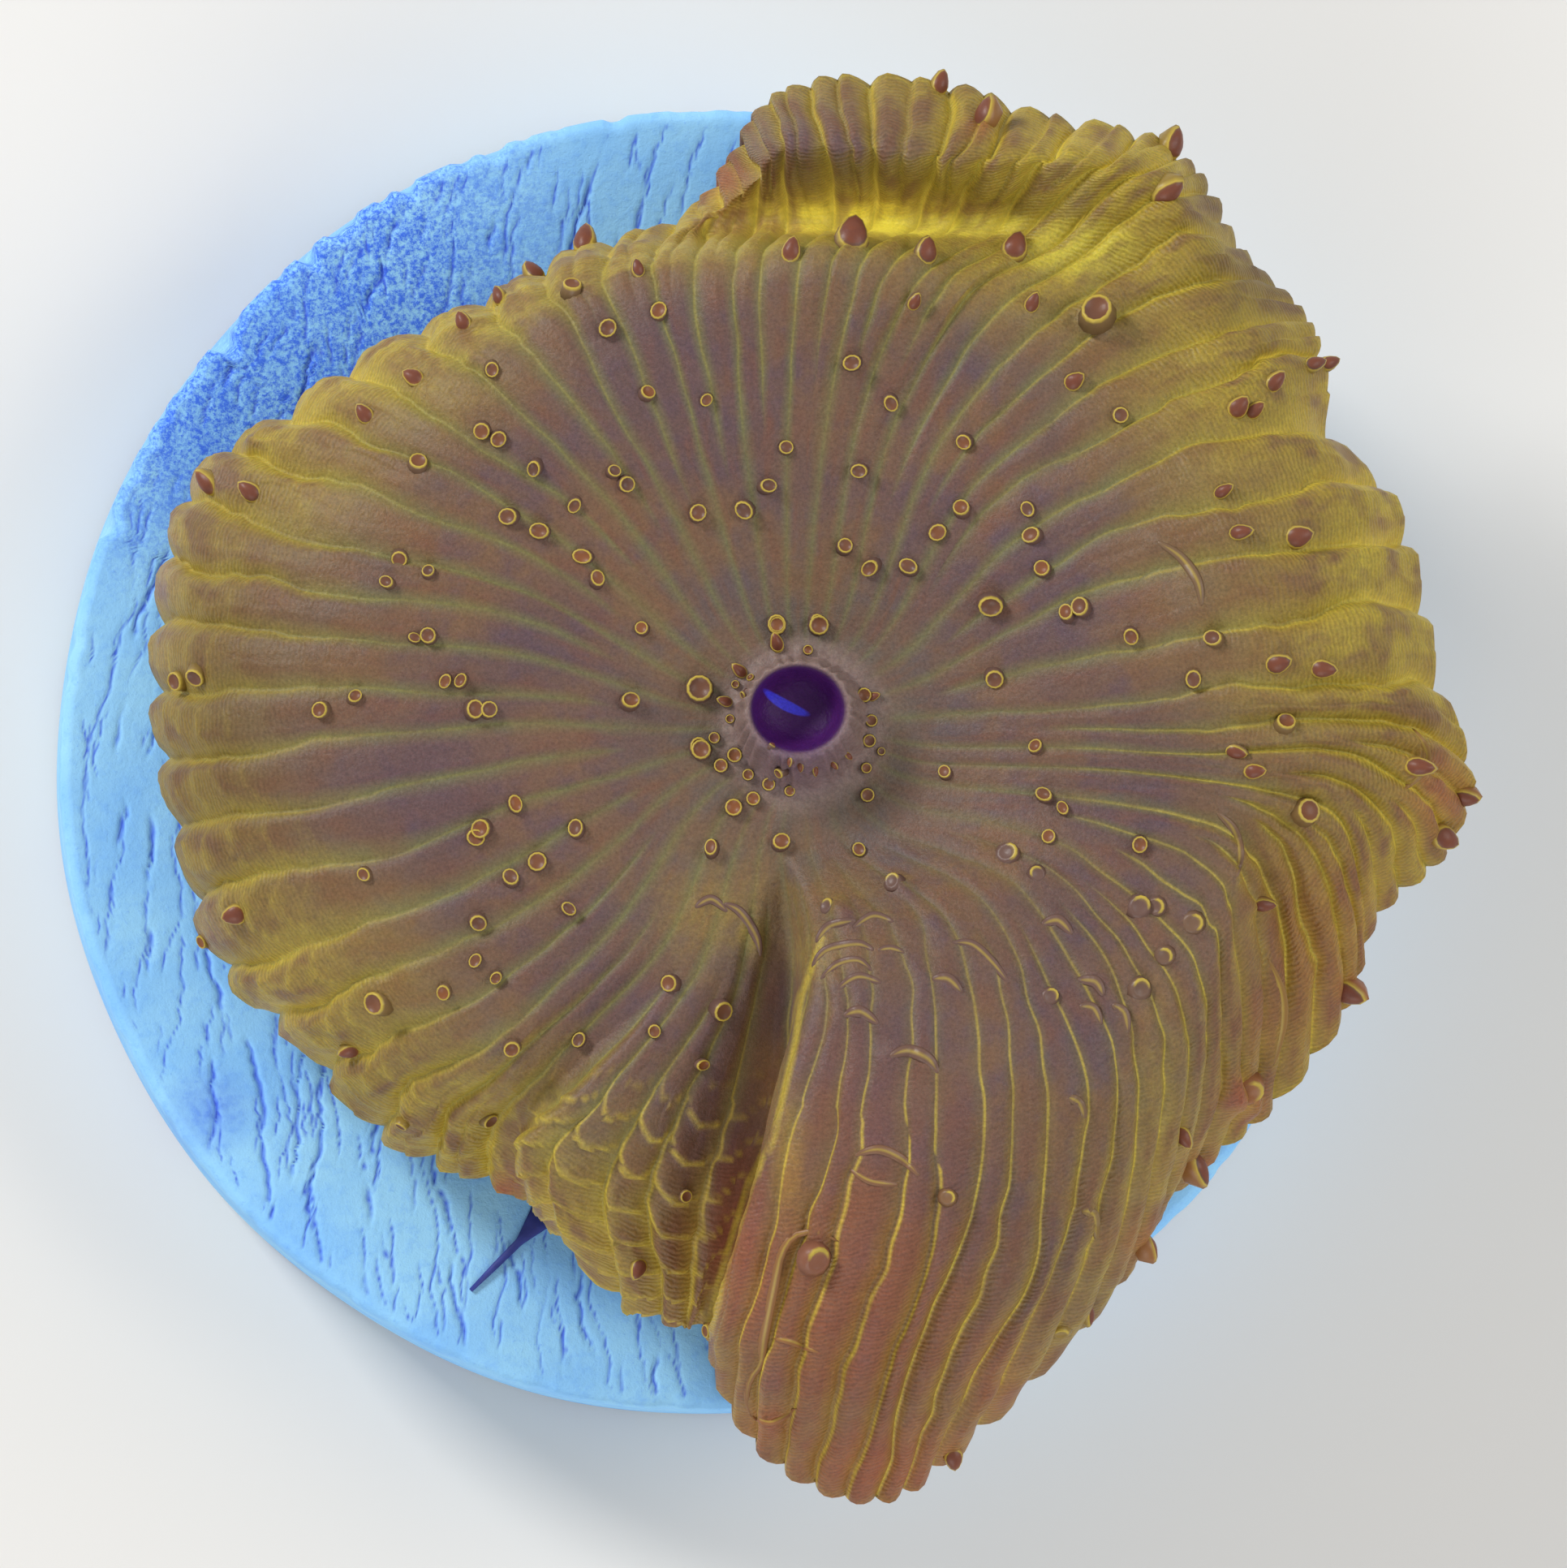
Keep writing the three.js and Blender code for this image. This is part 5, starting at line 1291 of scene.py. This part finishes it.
def laid_ridge(path, half_width, rise):
    """A ridge with pointed ends and a painted highlight on its crest, laid on the skin along a bent line."""
    ridge, number, around = new_grid(RIDGE_STATIONS + 1, RIDGE_SIDES + 1)
    angle = around / RIDGE_SIDES * 2 * math.pi
    places = np.array([path[0], *path, path[-1]], dtype=float)
    spots = np.linspace(0, len(path) - 1, RIDGE_STATIONS + 1)
    k = np.minimum(spots.astype(int), len(path) - 2)
    centre = cubic(*(places[k + n] for n in range(4)), (spots - k)[:, None])
    way = np.gradient(centre, axis=0)
    way /= np.linalg.norm(way, axis=1, keepdims=True)
    hits, _, olives, warms = zip(*(skin_below(x, y) for x, y in centre))
    level = np.array([hit.z / MM for hit in hits])
    taper = np.sin(np.linspace(0, math.pi, RIDGE_STATIONS + 1)) ** 0.6
    side = np.cos(angle) * half_width * taper[number]
    height = np.where(np.sin(angle) > 0, rise, SINK) * np.sin(angle) * taper[number]
    move_points(ridge, np.column_stack([
        centre[number, 0] - way[number, 1] * side, centre[number, 1] + way[number, 0] * side,
        level[number] + height]))
    # painted highlight along the fold's crest, on its upper side
    crest_highlight = np.clip(np.sin(angle), 0, 1) ** 5 * np.minimum(taper[number] * 1.2, 1)
    write_attribute(ridge, "cap", CREST_HIGHLIGHT * crest_highlight)
    colour_by_skin(ridge, float(np.mean(olives)), float(np.mean(warms)))
    close_and_face_out(ridge, 0.002 * MM)
    return ridge


for half_width, rise, path in FOLDS:
    copies.append(laid_ridge(path, half_width * CREST_WIDTH, rise * CREST_RISE))
print(len(FOLDS), "folds laid")

pick(*copies)
bpy.ops.object.join()
tubercles = bpy.context.active_object
bpy.ops.object.shade_smooth()
settle(tubercles, "polyp_tubercles")
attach(tubercles, "root")

# %% [markdown]
# The tubercles are flesh too, a little shinier because their skin is tight. One stored number says
# what part of a form a point is on: the foot takes the tone of the skin round it, the rim is pale
# yellow, the cup is brown and a tab's tip dark brown.

# %% Tubercle finish
knob_skin, shader = new_material("tubercle_tissue")
place = object_place()
mottle = noise_at(place, 0.25, 3.0, 0.6)
wide = noise_at(place, 2.5, 2.0)
cap = share_of("cap")
tone = layered(blend(share_of("olive"), "#6C5249", "#8F7636"), [
    (share_of("warm"), "#92563D"),
    # pale yellow: the cups' own rim, and the painted highlight on the hoods' arcs and the folds' crests
    (ramp(cap, 0.3, 0.85), blend(mottle, "#A08C3F", "#D2B649")),
    (ramp(cap, 1.1, 1.7), blend(ramp(wide, 0.35, 0.65), "#64463A", "#855130")),
    (ramp(cap, 2.1, 2.7), blend(mottle, "#643A33", "#824A30")),
])
set_inputs(shader, {
    "Base Color": tone, "Roughness": 0.4, "Specular IOR Level": 0.3, "Normal": bumped(mottle, 0.3, 0.05)})
tubercles.data.materials.append(knob_skin)
print("tubercle finish:", len(tree.nodes), "nodes")

# %% [markdown]
# Ceramic disc
#
# The coral's base is a round plate of unglazed ceramic, 32 mm across, whose face is scored with fine
# wavy cracks that all run much the same way. A plain cylinder can't hold them, so its face is a grid
# drawn out to a circle, closely spaced where it shows, with the cracks pressed in. The rim of the
# grid is then extruded over the rounded edge, down the wall and under to the middle.

# %% Lay the grid out as a round
TOP_ROUND = 0.25
# the columns are close from the left edge up to this place, where the face shows, and wide beyond
FINE_UP_TO, FINE_COLUMNS, COARSE_COLUMNS = 0.05, 300, 70
FACE_LINES = 220

side_places = np.concatenate([
    np.linspace(-1, FINE_UP_TO, FINE_COLUMNS), np.linspace(FINE_UP_TO, 1, COARSE_COLUMNS + 1)[1:]])
up_places = np.linspace(-1, 1, FACE_LINES)
ceramic, column, line = new_grid(len(side_places), len(up_places))
u, v = side_places[column], up_places[line]
bearing = np.arctan2(v, u)
rim_share = np.maximum(np.abs(u), np.abs(v))
CHIP_WAVES = [(wave, roll.uniform(0, FULL_TURN)) for wave in (23, 37, 53, 71, 97, 131)]


def outline(angle):
    """Radius of the ceramic's outline at a bearing."""
    return CERAMIC_RADIUS - 0.05 * (1 + 0.5 * np.sin(5 * angle + 1) + 0.5 * np.sin(11 * angle))


def chips(angle):
    """Depth of the chips along the rim by its bearing, deepest at the upper left."""
    waves = sum(np.sin(wave * angle + phase) for wave, phase in CHIP_WAVES) / 4
    weight = np.exp(-(((np.degrees(angle) - 135) / 26) ** 2))
    return np.clip(waves + 0.1, 0, 1) * (0.45 * weight + 0.05)


face_radius = outline(bearing) - TOP_ROUND - chips(bearing)
x, y = rim_share * face_radius * np.cos(bearing), rim_share * face_radius * np.sin(bearing)
print("face grid:", len(x), "points")

# %% [markdown]
# The cracks are shrinkage lines of the fired clay. They run down the disc with a slight bow, wander,
# fade out and start again. A first set is wide apart and deep, a second one fine and close. Each is
# pressed into the face, and its place is stored for the finish, which darkens it.

# %% Cracks
CRACK_KNOTS, JAG_KNOTS, FACE_REACH = 34, 170, 17

jag_places = np.linspace(-FACE_REACH, FACE_REACH, JAG_KNOTS)
knot_places = np.linspace(-FACE_REACH, FACE_REACH, CRACK_KNOTS)
crack, tone_line = np.zeros(len(x)), np.zeros(len(x))


def add_cracks(spacing, width, depth, gap_share):
    """Presses wavy lines into the face at about this spacing, each with gaps along its length."""
    start = -20.0
    while start < 18:
        start += spacing * dice.uniform(0.5, 1.5)
        phases = dice.uniform(0, 2 * math.pi, 5)
        path = start + 0.12 * y + 0.0073 * y**2 + 0.2 * np.sin(y / 1.3 + phases[0])
        path += 0.1 * np.sin(y / 0.45 + phases[1])
        path += np.interp(y, jag_places, dice.uniform(-0.07, 0.07, JAG_KNOTS))
        knots = dice.uniform(0, 1, CRACK_KNOTS)
        strength = smoothstep(np.interp(y, knot_places, knots), gap_share, gap_share + 0.25)
        line_width = width * (0.6 + 0.8 * np.interp(y, jag_places, dice.uniform(0, 1, JAG_KNOTS)))
        closeness = strength * np.clip(1 - np.abs(x - path) / line_width, 0, 1)
        np.maximum(crack, closeness * depth, out=crack)
        np.maximum(tone_line, closeness, out=tone_line)


add_cracks(1.2, 0.085, 0.1, 0.4)
add_cracks(0.3, 0.05, 0.05, 0.42)
face_height = CERAMIC_TOP - crack * smoothstep(1 - rim_share, 0.0, 0.02)
move_points(ceramic, np.column_stack([x, y, face_height]))
write_attribute(ceramic, "crack", tone_line * smoothstep(1 - rim_share, 0.0, 0.01))
print("deepest crack", crack.max().round(3), "mm")

# %% [markdown]
# The rest of the disc comes from the face's rim. Edit mode finds the open edge, and each extrusion
# pulls it on: over the rounded edge, down the wall where the chips fade out, round the foot and in
# under the disc, where the last ring merges to one point.

# %% Edge, wall and underside
# inset from the outline, share of the chips and height of each ring
WALL_RINGS = [
    (0.06, 1.0, 4.92), (0.0, 0.95, 4.7), (0.0, 0.7, 3.6), (0.0, 0.3, 2.4), (0.0, 0.0, 1.2), (0.0, 0.0, 0.4),
    (0.1, 0.0, 0.12), (0.4, 0.0, 0.0), (4.0, 0.0, 0.0), (10.0, 0.0, 0.0), (15.9, 0.0, 0.0),
]


def pull_rim(inset, chipped, new_height):
    """Extrudes the open rim, then moves its points in from the outline and to a height."""
    bpy.ops.object.mode_set(mode="EDIT")
    bpy.ops.mesh.extrude_edges_move()
    bpy.ops.object.mode_set(mode="OBJECT")
    for vertex in ceramic.data.vertices:
        if vertex.select:
            angle = math.atan2(vertex.co.y, vertex.co.x)
            radius = outline(angle) - inset - chipped * chips(angle)
            vertex.co = Vector((math.cos(angle) * radius, math.sin(angle) * radius, new_height)) * MM


pick(ceramic)
bpy.ops.object.mode_set(mode="EDIT")
bpy.ops.mesh.select_all(action="DESELECT")
bpy.ops.mesh.select_mode(type="EDGE")
bpy.ops.mesh.select_non_manifold()
bpy.ops.object.mode_set(mode="OBJECT")
for ring in WALL_RINGS:
    pull_rim(*ring)
bpy.ops.object.mode_set(mode="EDIT")
bpy.ops.mesh.merge(type="CENTER")
bpy.ops.mesh.select_all(action="SELECT")
bpy.ops.mesh.normals_make_consistent(inside=False)
bpy.ops.mesh.select_mode(type="VERT")
bpy.ops.object.mode_set(mode="OBJECT")
bpy.ops.object.shade_smooth()
settle(ceramic, "ceramic_plate")
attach(ceramic, "root")
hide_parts("ceramic_disc")

# %% [markdown]
# Bisque is clay that was fired without a glaze: matt, porous and a little uneven. In blue light it
# looks sky blue, with deeper blue in its pores, along its cracks and on a rough corner at the upper
# left. A small stain lies at the lower left.

# %% Ceramic finish
bisque, shader = new_material("blue_bisque_ceramic")
place = object_place()
cloud = noise_at(place, 2.2, 3.0)
blotch = noise_at(place, 0.3, 4.0, 0.7)
pore = noise_at(place, 0.09, 3.0, 0.7)
level = add_node("ShaderNodeSeparateXYZ", {"Vector": place}).outputs["Z"]
corner = times(mark(place, (-11.0, 11.5), 8.5), ramp(level, 3.0 * MM, CERAMIC_TOP * MM, 0.2, 1.0))
speck = plus(times(pore, 0.75), times(blotch, 0.45))
tone = layered(blend(ramp(cloud, 0.35, 0.65), "#8AC8FF", "#9DD8FF"), [
    (ramp(blotch, 0.5, 0.75, 0.0, 0.35), "#66A6FD"),
    (times(ramp(corner, 0.0, 0.5), ramp(speck, 0.5, 0.7)), "#3F74F2"),
    (ramp(pore, 0.62, 0.75, 0.0, 0.4), "#5A90F8"),
    (times(mark(place, (-12.3, -8.6), 1.3), blotch), "#3C68E8"),
    (ramp(share_of("crack"), 0.15, 0.9, 0.0, 0.85), "#3B5CE2"),
])
height = plus(blotch, times(pore, 0.6))
set_inputs(shader, {
    "Base Color": tone, "Roughness": 0.8, "Specular IOR Level": 0.3, "Normal": bumped(height, 0.5, 0.05)})
ceramic.data.materials.append(bisque)
print("ceramic finish:", len(tree.nodes), "nodes")

# %% [markdown]
# Algae strand
#
# A dark wisp of algae is caught under the edge of the disc and lies out over the ceramic. It is a
# small flattened tube: a circle at its root is extruded from station to station along the path.

# %% Strand
# x, y, width and height in millimetres
STRAND = [
    (-3.95, -10.95, 0.85, 0.1), (-4.35, -11.4, 0.5, 0.14), (-4.7, -11.8, 0.2, 0.17),
    (-5.3, -12.4, 0.17, 0.16), (-5.9, -13.0, 0.1, 0.1),
]


def strand_ring(vertices, k):
    """Moves a ring of points to station k of the strand, square to the way that it runs there."""
    x0, y0, width, height = STRAND[k]
    before, after = STRAND[max(k - 1, 0)], STRAND[min(k + 1, len(STRAND) - 1)]
    along = np.array(after[:2]) - np.array(before[:2])
    along /= np.linalg.norm(along)
    for n, vertex in enumerate(vertices):
        angle = 2 * math.pi * n / len(vertices)
        side = math.cos(angle) * width / 2
        z = CERAMIC_TOP + height * (0.5 + 0.5 * math.sin(angle))
        vertex.co = Vector((x0 - along[1] * side, y0 + along[0] * side, z)) * MM


pick()
bpy.ops.mesh.primitive_circle_add(vertices=10, radius=1)
strand = bpy.context.active_object
strand_ring(list(strand.data.vertices), 0)
bpy.ops.object.mode_set(mode="EDIT")
bpy.ops.mesh.select_all(action="SELECT")
for k in range(1, len(STRAND)):
    bpy.ops.object.mode_set(mode="EDIT")
    bpy.ops.mesh.extrude_edges_move()
    bpy.ops.object.mode_set(mode="OBJECT")
    strand_ring([v for v in strand.data.vertices if v.select], k)
bpy.ops.object.mode_set(mode="EDIT")
bpy.ops.mesh.edge_face_add()
close_open_ends()
bpy.ops.object.mode_set(mode="OBJECT")
bpy.ops.object.shade_smooth()
settle(strand, "algae_wisp")
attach(strand, "root")
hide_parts("algae_strand")

# %% [markdown]
# Algae film is thin, dark and damp. In blue light it looks deep blue, and fine noise keeps it from
# looking like paint.

# %% Algae finish
algae, shader = new_material("dark_algae_film")
film = noise_at(object_place(), 0.3, 3.0, 0.6)
set_inputs(shader, {"Base Color": blend(film, "#232A72", "#3C49A8"), "Roughness": 0.6})
strand.data.materials.append(algae)
print("algae finish:", len(tree.nodes), "nodes")
